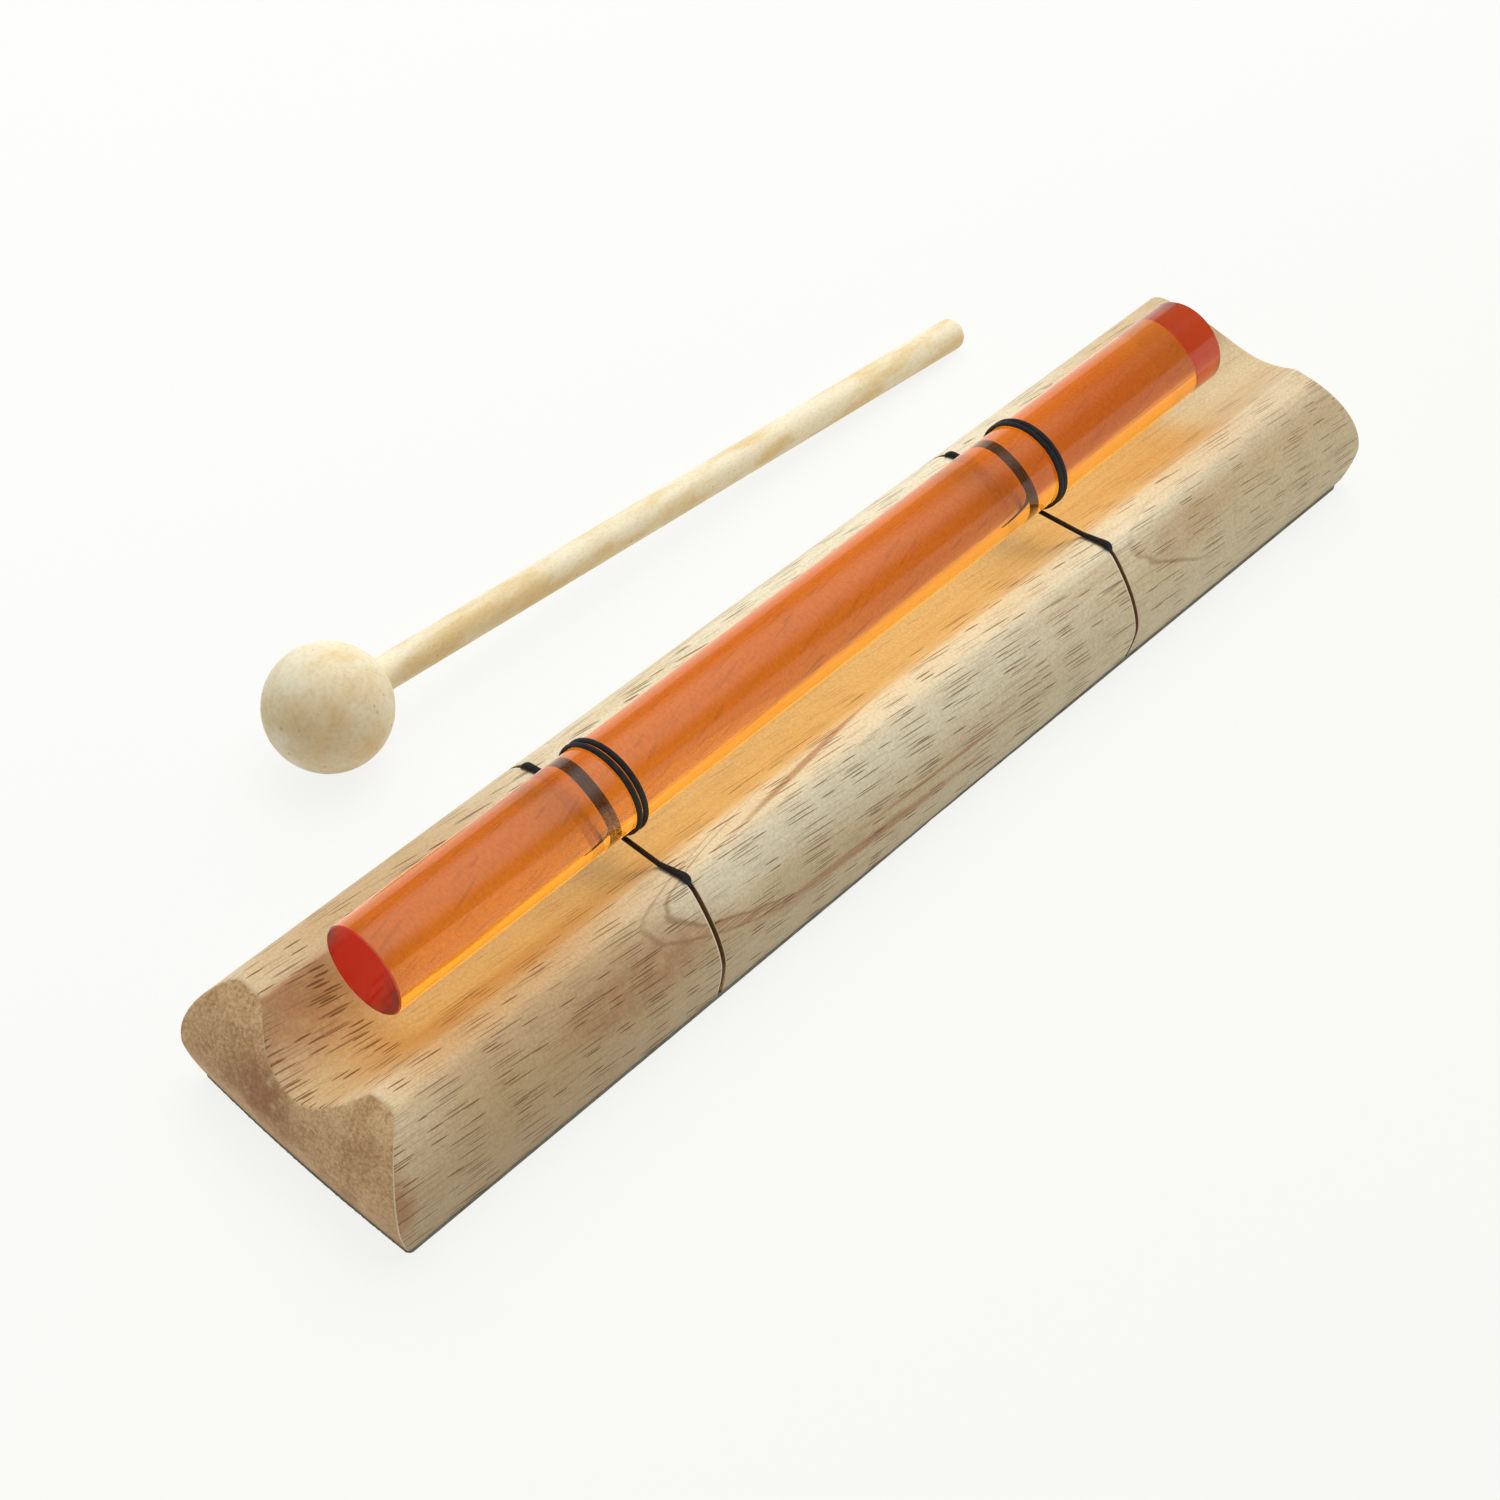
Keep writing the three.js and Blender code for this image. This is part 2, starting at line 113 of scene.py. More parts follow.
class BaseLook(bpy.types.PropertyGroup):
    """Sizes and colours of the wooden base and the felt under it."""

    length: size("Length", "Overall length along the middle, with the crowned ends", 302.5)
    width: size("Width", "Width at the waist, where the flanks stand out most", 64.6)
    height: size("Height", "Height of the two crests over the table", 29.3)
    waist: size("Waist Height", "Height at which flanks and ends stand out most", 11)
    near_crown: size("Near Crown", "How far the near end's middle stands out", 0.8)
    far_crown: size("Far Crown", "How far the far end's middle stands out", 2)
    end_foot_inset: size("End Foot Inset", "How far the ends draw in at the foot", 2.3)
    near_crest_inset: size("Near Crest Inset", "How far the near end leans in at its top", 10.2)
    far_crest_inset: size("Far Crest Inset", "How far the far end leans in at its top", 8.3)
    foot_inset: size("Flank Foot Inset", "How far the flanks draw in at the foot", 2.3)
    near_flare: size("Near Foot Flare", "How far the right foot stands out at the near end", 1.2)
    skew: turn("End Skew", "How far both ends are cut out of square", 1.7)
    groove_width: size("Groove Width", "Width of the groove between the crests", 31)
    groove_depth: size("Groove Depth", "Depth of the groove under the crests", 8.8)
    groove_shift: size("Groove Shift", "How far the groove lies left of the middle", -0.7)
    groove_lip: size("Groove Lip", "Softness of the groove's two edges", 0.7)
    crest_width: size("Crest Width", "Width of the flat top on each side", 7.6)
    crest_rounding: size("Crest Rounding", "Width of the rounding outside each crest", 2)
    edge_rounding: size("Edge Rounding", "Rounding of the edges of both ends", 0.5)
    near_kerf: size("Near Saw Cut", "Place of the near saw cut along the base", -64.9)
    far_kerf: size("Far Saw Cut", "Place of the far saw cut along the base", 65.7)
    near_kerf_width: size("Near Saw Cut Width", "Width of the near saw cut", 1.05)
    far_kerf_width: size("Far Saw Cut Width", "Width of the far saw cut", 0.95)
    kerf_floor: size("Saw Cut Floor", "Height of the saw cuts' floor under the base", 4.74)
    felt_near_reach: size("Near Felt Reach", "How far the felt reaches out nearby", 0.5)
    felt_far_reach: size("Far Felt Reach", "How far the felt reaches out at the far end", 5)
    cream: tone("Cream Wood", "Palest colour of the base's wood", 249, 239, 206)
    tan: tone("Tan Wood", "Middle colour of the base's wood", 236, 216, 174)
    amber: tone("Amber Wood", "Brownish wood of the near end", 210, 175, 126)
    rose: tone("Rose Wood", "Pinkish brown zones and streaks in the base's wood", 186, 138, 96)
    line: tone("Grain Lines", "Brown outlines of the loops in the grain", 158, 118, 80)
    # Olive and khaki darken the lower flanks and the groove, partly as their own hue and partly as painted
    # shade
    olive: tone("Olive Wood", "Greenish beige of the flanks at the far end", 224, 208, 164)
    khaki: tone("Khaki Wood", "Brownish beige of the flanks at the near end", 194, 170, 124)
    pore: tone("Pores", "Open pores, seen as thin dark dashes", 116, 72, 36)
    end_pale: tone("Pale End Grain", "Palest colour of the end grain", 238, 202, 150)
    end_dark: tone("Dark End Grain", "Darker mottles of the end grain", 190, 144, 98)
    end_stain: tone("End Grain Stain", "Reddish brown heart of the end grain", 156, 94, 62)
    # The saw cuts' wood is painted darker than cut wood is, as painted shade inside the cuts
    shaded_sawn_wood: tone("Sawn Wood", "Wood inside the saw cuts", 130, 84, 56)
    felt: tone("Felt", "Colour of the felt under the base", 172, 168, 148)


class RodLook(bpy.types.PropertyGroup):
    """Sizes and colours of the rod."""

    length: size("Length", "Length of the rod", 249.6)
    diameter: size("Diameter", "Diameter of the rod", 20.1)
    rise: size("Rise", "Gap between the crests' height and the rod's underside", 1.35)
    along: size("Place Along", "Place of the rod's middle along the base", -4.1)
    across: size("Place Across", "Place of the rod's middle across the base", -0.8)
    heading: turn("Heading", "How far the rod is turned on the base", 0.52)
    chamfer: size("Edge Chamfer", "Width of the polished rim at both ends", 0.3)
    tint: tone("Tint", "Colour of what is seen through the rod", 255, 162, 44)
    # The ends' reds are a painted glow of the light trapped in the rod; End Shade paints shade on them and
    # Rim a highlight
    end: tone("Near End", "Deep red of the rod's near end", 255, 26, 16)
    far_end: tone("Far End", "Browner red of the far end, seen through the rod", 246, 118, 96)
    end_shade: tone("End Shade", "Purple of the dark parts of the rod's ends", 120, 16, 44)
    rim: tone("Rim", "Thin bright rim at the right of the rod's ends", 242, 100, 62)
    patch: tone("Light Patch", "Colour that each side of the rod gives its shadow", 255, 222, 144)


class CordLook(bpy.types.PropertyGroup):
    """Sizes and colours of the elastic cords."""

    near_pitch: size("Near Turn Spacing", "Distance between the near turns", 1.65)
    far_pitch: size("Far Turn Spacing", "Distance between the far turns", 1.3)
    near_turn: size("Near Turn Width", "Width of the near turns on the rod", 1.38)
    far_turn: size("Far Turn Width", "Width of the far turns on the rod", 1.42)
    turn_depth: size("Turn Thickness", "Thickness of the cord where it lies on the rod", 0.85)
    span_width: size("Span Width", "Width of the cord between rod and crest", 1.2)
    crest_width: size("Crest Width", "Width of the cord where it is pressed on a crest", 2.1)
    crest_depth: size("Crest Thickness", "Thickness of the cord on a crest", 0.9)
    kerf_gap: size("Gap in Saw Cut", "How much narrower than its saw cut the cord is", 0.16)
    crest_shift: size("Crest Shift", "How far a cord leaves its saw cut's line on a crest", 1.2)
    near_shift: size("Near Shift", "How far the near turns lie from their saw cut", -1.0)
    far_shift: size("Far Shift", "How far the far turns lie from their saw cut", -2.1)
    knot_radius: size("Knot Radius", "Radius of the knots under the base", 1.7)
    knot_cord: size("Knot Cord Radius", "Radius of the cord pulled tight in a knot", 0.52)
    black: tone("Black", "Colour of the cords", 12, 12, 15)
    # The sheen is painted: a bluish reflection laid on patches of the cords' upward faces
    sheen: tone("Blue Sheen", "Worn, bluish places of the cords", 37, 39, 49)


class MalletLook(bpy.types.PropertyGroup):
    """Sizes and colours of the mallet."""

    ball: size("Ball Diameter", "Diameter of the mallet's head", 28.4)
    handle: size("Handle Diameter", "Diameter of the dowel", 7.8)
    reach: size("Reach", "From the ball's middle to the handle's far end", 198.1)
    tip: size("Tip Rounding", "Rounding of the handle's far end", 2.6)
    socket: size("Socket Depth", "Depth of the hole in the ball", 17)
    along: size("Place Along", "Place of the ball along the base", -71.6)
    across: size("Place Across", "Place of the ball across the base", 77.2)
    heading: turn("Heading", "How far the handle is turned on the table", -1.85)
    pale: tone("Pale Birch", "Palest colour of the mallet's wood", 251, 241, 210)
    warm: tone("Warm Birch", "Darker clouds in the mallet's wood", 238, 212, 156)
    fleck: tone("Flecks", "Small brown flecks in the mallet's wood", 168, 130, 84)


class StageLook(bpy.types.PropertyGroup):
    """Camera, floor, world and lamp."""

    camera: spot("Camera", "Place of the camera", -347.06, -312.68, 478.22)
    azimuth: turn("Azimuth", "Compass heading of the camera", -46.02)
    elevation: turn("Elevation", "How far the camera looks down", 45.68)
    roll: turn("Roll", "How far the camera is rolled", -1.075)
    lens: FloatProperty(name="Lens", description="Focal length", default=74.65, unit="CAMERA")
    # The floor's front colour is a painted dimming of its white towards the front
    floor: tone("Floor", "Colour of the floor in front, right of the object", 250, 251, 246)
    floor_radius: size("Floor Radius", "Radius of the round floor", 5000)
    floor_glow: level("Floor Glow", "How much of the floor's own white shows", 0.87)
    ceiling: level("Ceiling", "Strength of the world's soft light", 0.28)
    oval: level("Oval", "How much brighter the oval in the ceiling is", 1.44)
    lamp: spot("Lamp", "Place of the lamp", 660, 500, 1380)
    lamp_target: spot("Lamp Target", "Place at which the lamp points", 50, 30, 0)
    lamp_side: size("Lamp Side", "Side of the square lamp", 2200)
    lamp_power: FloatProperty(name="Lamp Power", description="Power of the lamp",
                              default=26.8, unit="POWER")


def saw_cuts(look):
    """Place and width of the near and the far saw cut."""
    return (look.near_kerf, look.near_kerf_width), (look.far_kerf, look.far_kerf_width)


def sizes(context, name):
    """The settings of one part of the object, from the scene."""
    return getattr(context.scene, f"chime_{name}")


class Varying:
    """A number that varies over a surface: sums on it add Math nodes."""

    def __init__(self, finish, socket):
        self.finish = finish
        self.socket = socket

    def math(self, operation, *values):
        return self.finish.add("Math", dict(enumerate(values)), operation=operation)

    def __add__(self, other):
        return self.math("ADD", self, other)

    __radd__ = __add__

    def __sub__(self, other):
        return self.math("SUBTRACT", self, other)

    def __rsub__(self, other):
        return self.math("SUBTRACT", other, self)

    def __mul__(self, other):
        return self.math("MULTIPLY", self, other)

    __rmul__ = __mul__

    def __abs__(self):
        return self.math("ABSOLUTE", self)

    def higher(self, other):
        return self.math("MAXIMUM", self, other)

    def rises(self, low, high):
        """0 up to low and 1 from high on, with a smooth step between; falls where low > high."""
        steps = {"From Min": min(low, high), "From Max": max(low, high)}
        ends = {"To Min": float(low > high), "To Max": float(low < high)}
        return self.finish.add("MapRange", {"Value": self, **steps, **ends},
                               interpolation_type="SMOOTHSTEP")


def highest(first, *others):
    """The highest of several varying numbers at each point."""
    for other in others:
        first = first.higher(other)
    return first


class Finish:
    """A material or a world under construction: adds nodes and joins their sockets."""

    def __init__(self, name, kind="materials"):
        self.block = getattr(bpy.data, kind).new(name)
        self.block.use_nodes = True
        self.nodes = self.block.node_tree.nodes
        self.links = self.block.node_tree.links
        self.nodes.clear()

    def add(self, kind, sockets=None, output=0, **settings):
        """A shader node of one kind with its sockets' values or links: one of its outputs."""
        node = self.nodes.new(f"ShaderNode{kind}")
        for name, value in settings.items():
            setattr(node, name, value)
        for key, value in (sockets or {}).items():
            if isinstance(value, Varying):
                self.links.new(value.socket, node.inputs[key])
            else:
                node.inputs[key].default_value = value
        return Varying(self, node.outputs[output])

    def place(self, scale, turned=(0, 0, 0), moved=(0, 0, 0)):
        """The point on the piece, stretched by a scale in cells per metre on each axis."""
        point = self.add("TexCoord", output="Object")
        return self.add("Mapping", {
            "Vector": point,
            "Location": moved,
            "Rotation": [math.radians(angle) for angle in turned],
            "Scale": scale,
        })

    def axis(self, letter):
        """How far along X, Y or Z a point lies, in metres."""
        point = self.add("TexCoord", output="Object")
        return self.add("SeparateXYZ", {0: point}, letter)

    def facing(self, letter):
        """How far the surface faces along X, Y or Z."""
        normal = self.add("TexCoord", output="Normal")
        return self.add("SeparateXYZ", {0: normal}, letter)

    def clouds(self, place, detail=2.0, roughness=0.5, dimensions="3D"):
        sockets = {"Vector": place, "Scale": 1.0, "Detail": detail, "Roughness": roughness}
        return self.add("TexNoise", sockets, noise_dimensions=dimensions)

    def cells(self, place, dimensions="3D"):
        """How far a point lies from its cell's middle, and two numbers drawn for the cell."""
        distance, drawn = (self.add("TexVoronoi", {"Vector": place, "Scale": 1.0}, output,
                                    voronoi_dimensions=dimensions)
                           for output in ("Distance", "Color"))
        first, second = (self.add("SeparateColor", {0: drawn}, channel) for channel in range(2))
        return distance, first, second

    def combined(self, first, second):
        return self.add("CombineXYZ", {0: first, 1: second})

    def vectors(self, operation, *values, output=0):
        return self.add("VectorMath", dict(enumerate(values)), output, operation=operation)

    def length(self, vector):
        return self.vectors("LENGTH", vector, output="Value")

    def warped(self, place, amount, scale):
        """A place shifted about by soft noise, so that straight patterns wander."""
        drift = self.add("TexNoise", {"Vector": scale, "Scale": 1.0}, "Color")
        centred = self.vectors("SUBTRACT", drift, (0.5, 0.5, 0.5))
        return self.vectors("ADD", place, self.vectors("MULTIPLY", centred, amount))

    def inside(self, place):
        """1 round the origin, fading to 0 at a distance of 1."""
        return self.length(place).rises(1.0, 0.3)

    def blob(self, centre, radii):
        """1 inside an egg-shaped spot, fading to 0 at its rim; sizes in millimetres."""
        scale = [1 / (radius * MM) for radius in radii]
        moved = [-place / radius for place, radius in zip(centre, radii)]
        return self.inside(self.place(scale, moved=moved))

    def mix(self, factor, first, second, blend="MIX"):
        """Two colours mixed; plain ones are given as three numbers."""
        sockets = {0: factor}
        for key, value in ((6, first), (7, second)):
            sockets[key] = value if isinstance(value, Varying) else (*value, 1.0)
        return self.add("Mix", sockets, 2, data_type="RGBA", blend_type=blend)

    def bump(self, height, strength, distance):
        return self.add("Bump", {"Height": height, "Strength": strength,
                                 "Distance": distance * MM})

    def output(self, surface, kind="Material"):
        """Ends the material or the world with what it looks like."""
        node = self.nodes.new(f"ShaderNodeOutput{kind}")
        self.links.new(surface.socket, node.inputs["Surface"])
        return self.block

    def seen(self, *rays):
        """1 for the kinds of rays named, such as Camera, and 0 for others."""
        return highest(*(self.add("LightPath", output=f"Is {ray} Ray") for ray in rays))

    def shiny(self, sockets):
        return self.add("BsdfPrincipled", sockets)

    def blended(self, share, first, second):
        """Two surfaces, with how much of the second shows."""
        return self.add("MixShader", {0: share, 1: first, 2: second})

    def coat(self, colour, roughness, specular, normal):
        """Ends an opaque material."""
        return self.output(self.shiny({
            "Base Color": colour,
            "Roughness": roughness,
            "Specular IOR Level": specular,
            "Normal": normal,
        }))

    def painted(self, colour, *layers):
        """A colour with others laid over it in turn, each given after how much of it shows."""
        for share, tint in layers:
            colour = self.mix(share, colour, tint)
        return colour


class Grain:
    """Coordinates that follow the base's surface: along it, and over its girth from the middle
    of the groove down each flank. Its methods take millimetres."""

    crest_flat = 6 * MM
    slope = 0.12
    wander = 1.8 * MM

    def __init__(self, wood, look):
        self.wood = wood
        self.along = wood.axis("X")
        self.across = wood.axis("Y")
        half = look.groove_width / 2
        outer = half + self.crest_flat
        side = self.across.rises(half, outer) - self.across.rises(-half, -outer)
        self.girth = self.across - side * (wood.axis("Z") - look.height)
        drift = self.clouds(12, 45) - 0.5
        self.slanted = self.girth + self.along * self.slope + drift * self.wander

    def ahead(self, low, high):
        """0 up to one place along the base, and 1 from another on."""
        return self.along.rises(low * MM, high * MM)

    def aside(self, low, high):
        """0 up to one place across the base, and 1 from another on."""
        return self.across.rises(low * MM, high * MM)

    def clouds(self, along, girth, detail=2.0):
        """Soft noise, with so many clouds per metre along the base and over its girth."""
        place = self.wood.combined(self.along * along, self.girth * girth)
        return self.wood.clouds(place, detail, dimensions="2D")

    def pores(self, along, girth):
        """Long thin cells, a little slanted, with so many per metre in each direction."""
        place = self.wood.combined(self.along * along, self.slanted * girth)
        return self.wood.cells(place, "2D")

    def spot(self, along, girth, length, width, slope=0.0):
        """1 inside an oval, fading to 0 at its rim, with its half sizes and its slope."""
        ahead = self.along - along * MM
        aside = self.girth - girth * MM - ahead * slope
        place = self.wood.combined(ahead * (1 / (length * MM)), aside * (1 / (width * MM)))
        return self.wood.inside(place)

    def spots(self, rows):
        """Several ovals, each row with its strength first."""
        return highest(*(self.spot(*oval) * strength for strength, *oval in rows))

    def loop(self, along, girth, roundness):
        """How far ahead of a loop of grain a point lies: the loop's tip points to the near
        end, and its lower arm runs down the flank."""
        aside = self.girth * (1 / MM) - girth
        wide = highest(aside * -1, aside * 2.2 - 2)
        wander = (self.clouds(150, 260) - 0.5) * 3
        return (self.along * (1 / MM) - along) - wide * wide * (1 / roundness) + wander


# Marks in the base's wood, in millimetres, as Grain's loop, spot and spots take them
NEAR_LOOP = (-72.6, -27, 13)
FAR_LOOP = (71.5, -27, 18)
NEAR_LOOP_REACH = (-58, -33, 46, 27)
FAR_LOOP_REACH = (86, -34, 26, 18)
LOOP_HEART = (-62, -30, 24, 14)
PALE_CREST = (-14, -21, 50, 8)
PORE_CROWD = (-140, 4, 30, 22)
LINED_STREAK = (-57, -42.5, 19, 3, -0.5)
STREAKS = (
    (1, -22, -48.4, 46, 1.9, -0.05),
    (1, -26, -18.2, 34, 1.1, 0.12),
    (1, 4, -45, 40, 0.8, -0.04),
    (1, -137, 14.7, 22, 0.9),
)
ROSE_ZONES = (
    (0.7, -84, -37, 30, 12),
    (0.3, 88, -33, 20, 10),
    (0.6, -140, 9, 34, 11),
    # The zone beside the near end, low on the right flank, is painted shade at that corner
    (0.9, -151, -44, 7, 17),
)
# Stains in the near end's grain: middles and radii in millimetres
HEART_STAIN = ((-152, 7, 16), (16, 13, 11))
CORNER_STAIN = ((-152, -29, 6), (12, 7, 12))


def side_colour(wood, grain, look, under_rod, mottle):
    """Colour of the base's top and flanks: broad tones first, with painted light under the rod and painted
    shade on the left groove wall and lower down, then zones, streaks and loops.
    """
    near_amber = grain.ahead(-45, -100) * (grain.ahead(-145, -120) + 0.9)
    in_groove = abs(grain.across).rises(17 * MM, 13 * MM)
    far_amber = grain.ahead(60, 130) * (in_groove * 0.2 + 0.5)
    # Painted shade: the left wall of the groove is darkened towards rose
    shaded_left_wall = grain.aside(5, 11) * grain.aside(17, 14.5)
    # Painted shade, partly the flanks' own hue: lower down the wood darkens towards khaki at the near end
    # and olive at the far end
    low = wood.axis("Z").rises(0.0285, 0.015)
    shaded = wood.mix(grain.ahead(-130, 130), look.khaki, look.olive)
    near_loop, far_loop = grain.loop(*NEAR_LOOP), grain.loop(*FAR_LOOP)
    outlines = highest(
        highest(abs(near_loop).rises(1.3, 0.1) * 0.85,
                abs(near_loop + 6.5).rises(1.5, 0.1) * 0.75) * grain.spot(*NEAR_LOOP_REACH),
        abs(far_loop).rises(1.6, 0.1) * grain.spot(*FAR_LOOP_REACH) * 0.8)
    lines = grain.clouds(14, 1700).rises(0.35, 0.6)
    streaks = highest(grain.spots(STREAKS), grain.spot(*LINED_STREAK) * lines)
    return wood.painted(
        wood.mix(grain.clouds(9, 75, 3).rises(0.4, 0.7), look.cream, look.tan),
        (near_amber * 0.45, look.amber),
        (far_amber, look.amber),
        (grain.spot(*PALE_CREST) * 0.6, look.cream),
        (shaded_left_wall * 0.55, look.rose),
        # Painted light: the wood under the rod is lightened towards cream, for the light that the rod
        # gathers onto it
        (under_rod * grain.ahead(50, -60) * 0.7, look.cream),
        (low * 0.7, shaded),
        (grain.clouds(10, 900).rises(0.5, 0.72) * 0.14, look.rose),
        (near_loop.rises(-1, 2) * grain.spot(*LOOP_HEART) * 0.55, look.cream),
        (grain.spots(ROSE_ZONES) * mottle, look.rose),
        (streaks * 0.75, look.rose),
        (outlines * 0.7, look.line),
    )


def open_pores(grain, under_rod):
    """Thin dashes: plain ones, a few strong ones and fine ones, fewer to be seen further off."""
    distance, chance, length = grain.pores(62, 1450)
    plain = (distance + length * 0.13).rises(0.34, 0.24) * chance.rises(0.58, 0.8)
    distance, chance, _ = grain.pores(110, 1200)
    crowd = grain.spot(*PORE_CROWD)
    strong = distance.rises(0.28, 0.17) * (chance + crowd * 0.3).rises(0.86, 0.92)
    distance, chance, _ = grain.pores(85, 2500)
    fine = distance.rises(0.32, 0.2) * chance.rises(0.5, 0.9) * 0.4
    return (highest(plain * 0.85, strong, fine) * (1 - under_rod * 0.75)
            * (1 - grain.ahead(0, 140) * 0.3))


def end_colour(wood, look, facing_end, mottle, rays):
    """Colour of the end grain: mottles, a stained heart, cut pores and a painted highlight where it turns to
    the right.
    """
    drifts = wood.clouds(wood.place((90, 130, 130)), 3, 0.6)
    stain = highest(wood.blob(*HEART_STAIN), wood.blob(*CORNER_STAIN) * 0.4)
    fleck, _, _ = wood.cells(wood.place((1400, 1400, 1400)))
    # Painted highlight: where the end's rounding turns towards the right, it is lightened towards cream
    corner = (facing_end.rises(0.3, 0.6) * facing_end.rises(0.98, 0.85)
              * wood.facing("Y").rises(-0.15, -0.4))
    return wood.painted(
        wood.mix((rays * 0.55 + drifts * 0.45).rises(0.36, 0.64), look.end_pale, look.end_dark),
        (stain * mottle * 0.65, look.end_stain),
        (fleck.rises(0.32, 0.12) * 0.28, look.pore),
        (corner * 0.6, look.cream),
    )


def base_wood(look):
    """Open-pored hardwood with its grain along X: dark dashes, grain loops and end grain."""
    wood = Finish("base_wood")
    grain = Grain(wood, look)
    # The strip of the groove under the rod: lightened there as painted light, and with fewer pores
    under_rod = grain.aside(-10, -6) * grain.aside(17, 12) * grain.ahead(-128, -120)
    mottle = wood.clouds(wood.place((260, 330, 330)), 2, 0.6).rises(0.1, 0.6)
    speckle = wood.clouds(wood.place((1500, 1500, 1500)), 2, 0.65)
    rays = wood.clouds(wood.place((900, 1100, 1600)), 3, 0.7)
    facing_end = abs(wood.facing("X"))
    end = facing_end.rises(0.45, 0.6)
    pores = open_pores(grain, under_rod)
    body = side_colour(wood, grain, look, under_rod, mottle)
    body = wood.mix(speckle.rises(0.36, 0.66) * 0.2, body, look.rose, "MULTIPLY")
    colour = wood.painted(body, (pores * 0.82, look.pore),
                          (end, end_colour(wood, look, facing_end, mottle, rays)))
    on_flank = abs(grain.across).rises(21.5 * MM, 22.5 * MM)
    for kerf, width in saw_cuts(look):
        beside = grain.along - kerf
        # Painted shade: inside the saw cuts the wood takes the dark sawn colour
        inside = abs(beside).rises(width / 2 + 0.04 * MM, width / 2 - 0.02 * MM)
        rim = abs(beside + (width / 2 + 0.2 * MM)).rises(0.28 * MM, 0.08 * MM)
        colour = wood.painted(colour, (rim * on_flank * 0.75, look.cream),
                              (inside * on_flank, look.shaded_sawn_wood))
    return wood.coat(colour, 0.5 + pores * 0.25 + end * 0.15, 0.3,
                     wood.bump(pores * -1.0 + speckle * 0.3 + end * rays * 0.4, 0.3, 0.1))


def base_felt(look):
    """Thin felt: a fuzzy, mottled edge."""
    felt = Finish("base_felt")
    fuzz = felt.clouds(felt.place((2500, 2500, 2500)), 4, 0.7)
    tufts = felt.clouds(felt.place((320, 320, 320)), 2, 0.5)
    dark = [channel * 0.65 for channel in look.felt]
    colour = felt.mix((fuzz * 0.6 + tufts * 0.4).rises(0.35, 0.65), dark, look.felt)
    return felt.coat(colour, 0.95, 0.15, felt.bump(fuzz, 0.8, 0.3))


def rod_tint(look, middle):
    """Clear tinted rod, whose flat ends glow deep red with the light trapped in it."""
    rod = Finish("rod_tint")
    wear = rod.clouds(rod.place((700, 700, 700)), 3, 0.6)
    glass = rod.shiny({
        "Base Color": (*look.tint, 1.0),
        "Roughness": wear.rises(0.5, 0.9) * 0.02,
        "IOR": 1.49,
        "Transmission Weight": 1.0,
    })
    radius = look.diameter / 2
    aside = rod.axis("Y") - middle.y
    slant = aside * 0.9 + (rod.axis("Z") - middle.z) * 0.45
    depths = rod.clouds(rod.place((60, 160, 160)), 2, 0.5)
    shade = (abs(slant) + (depths - 0.5) * (6 * MM)).rises(0.4 * radius, 1.1 * radius)
    facing = abs(rod.facing("X"))
    # Painted highlight: the chamfer at the right of each end takes the bright rim colour
    right = aside.rises(0.2 * radius, -0.5 * radius)
    far = (rod.axis("X") - middle.x).rises(0, 20 * MM)
    glow = rod.mix(shade * 0.85, rod.mix(far, look.end, look.far_end), look.end_shade)
    end = rod.shiny({
        "Base Color": rod.mix(facing.rises(0.9, 0.8) * right, glow, look.rim),
        "Roughness": 0.08 + wear * 0.06,
        "Specular IOR Level": 0.3,
    })
    is_end = facing.rises(0.5, 0.68) * 0.94
    patch = rod.add("BsdfTransparent", {"Color": (*look.patch, 1.0)})
    solid = rod.blended(is_end, glass, end)
    return rod.output(rod.blended(rod.seen("Shadow", "Diffuse"), solid, patch))


def cord_black(look):
    """Black elastic: matte, with a faint bluish painted sheen in patches on its upward faces."""
    cord = Finish("cord_black")
    weave = cord.clouds(cord.place((3200, 3200, 3200)), 3, 0.6)
    sheen_patches = cord.clouds(cord.place((500, 500, 500)), 2, 0.5)
    upward_sheen_mask = cord.facing("Z").rises(0.3, 0.8)
    colour = cord.mix(sheen_patches.rises(0.45, 0.75) * upward_sheen_mask * 0.7, look.black, look.sheen)
    return cord.coat(colour, 0.5 + weave * 0.25, 0.4, cord.bump(weave, 0.4, 0.08))


def mallet_wood(look, name, clouds_scale, grain_scale):
    """Pale close-grained wood with soft clouds, a fine speckle and a few small flecks; as painted shade, the
    clouds turn warmer and the flecks more towards the underside.
    """
    wood = Finish(name)
    cloud = wood.clouds(wood.warped(wood.place(clouds_scale), (0.5, 0.5, 0.5),
                                    wood.place((60, 60, 60))), 3, 0.55)
    speckle = wood.clouds(wood.place(grain_scale), 2, 0.65)
    distance, chance, _ = wood.cells(wood.place([scale * 0.6 for scale in grain_scale]))
    spots = distance.rises(0.3, 0.1) * chance.rises(0.75, 0.95)
    # Painted shade: towards the underside the clouds turn warmer and the flecks grow more
    under = wood.facing("Z").rises(0.8, -0.2)
    colour = wood.painted(
        wood.mix((cloud + under * 0.08).rises(0.42, 0.7), look.pale, look.warm),
        (speckle.rises(0.4, 0.7) * 0.14, look.fleck),
        (spots * (under * 0.4 + 0.2), look.fleck),
    )
    return wood.coat(colour, 0.5 + spots * 0.2, 0.3,
                     wood.bump(speckle * 0.4 - spots, 0.25, 0.08))


def upright(shape, least):
    """The edges whose ends differ in height by more than a least difference."""
    return [edge for edge in shape.edges
            if abs(edge.verts[0].co.z - edge.verts[1].co.z) > least]


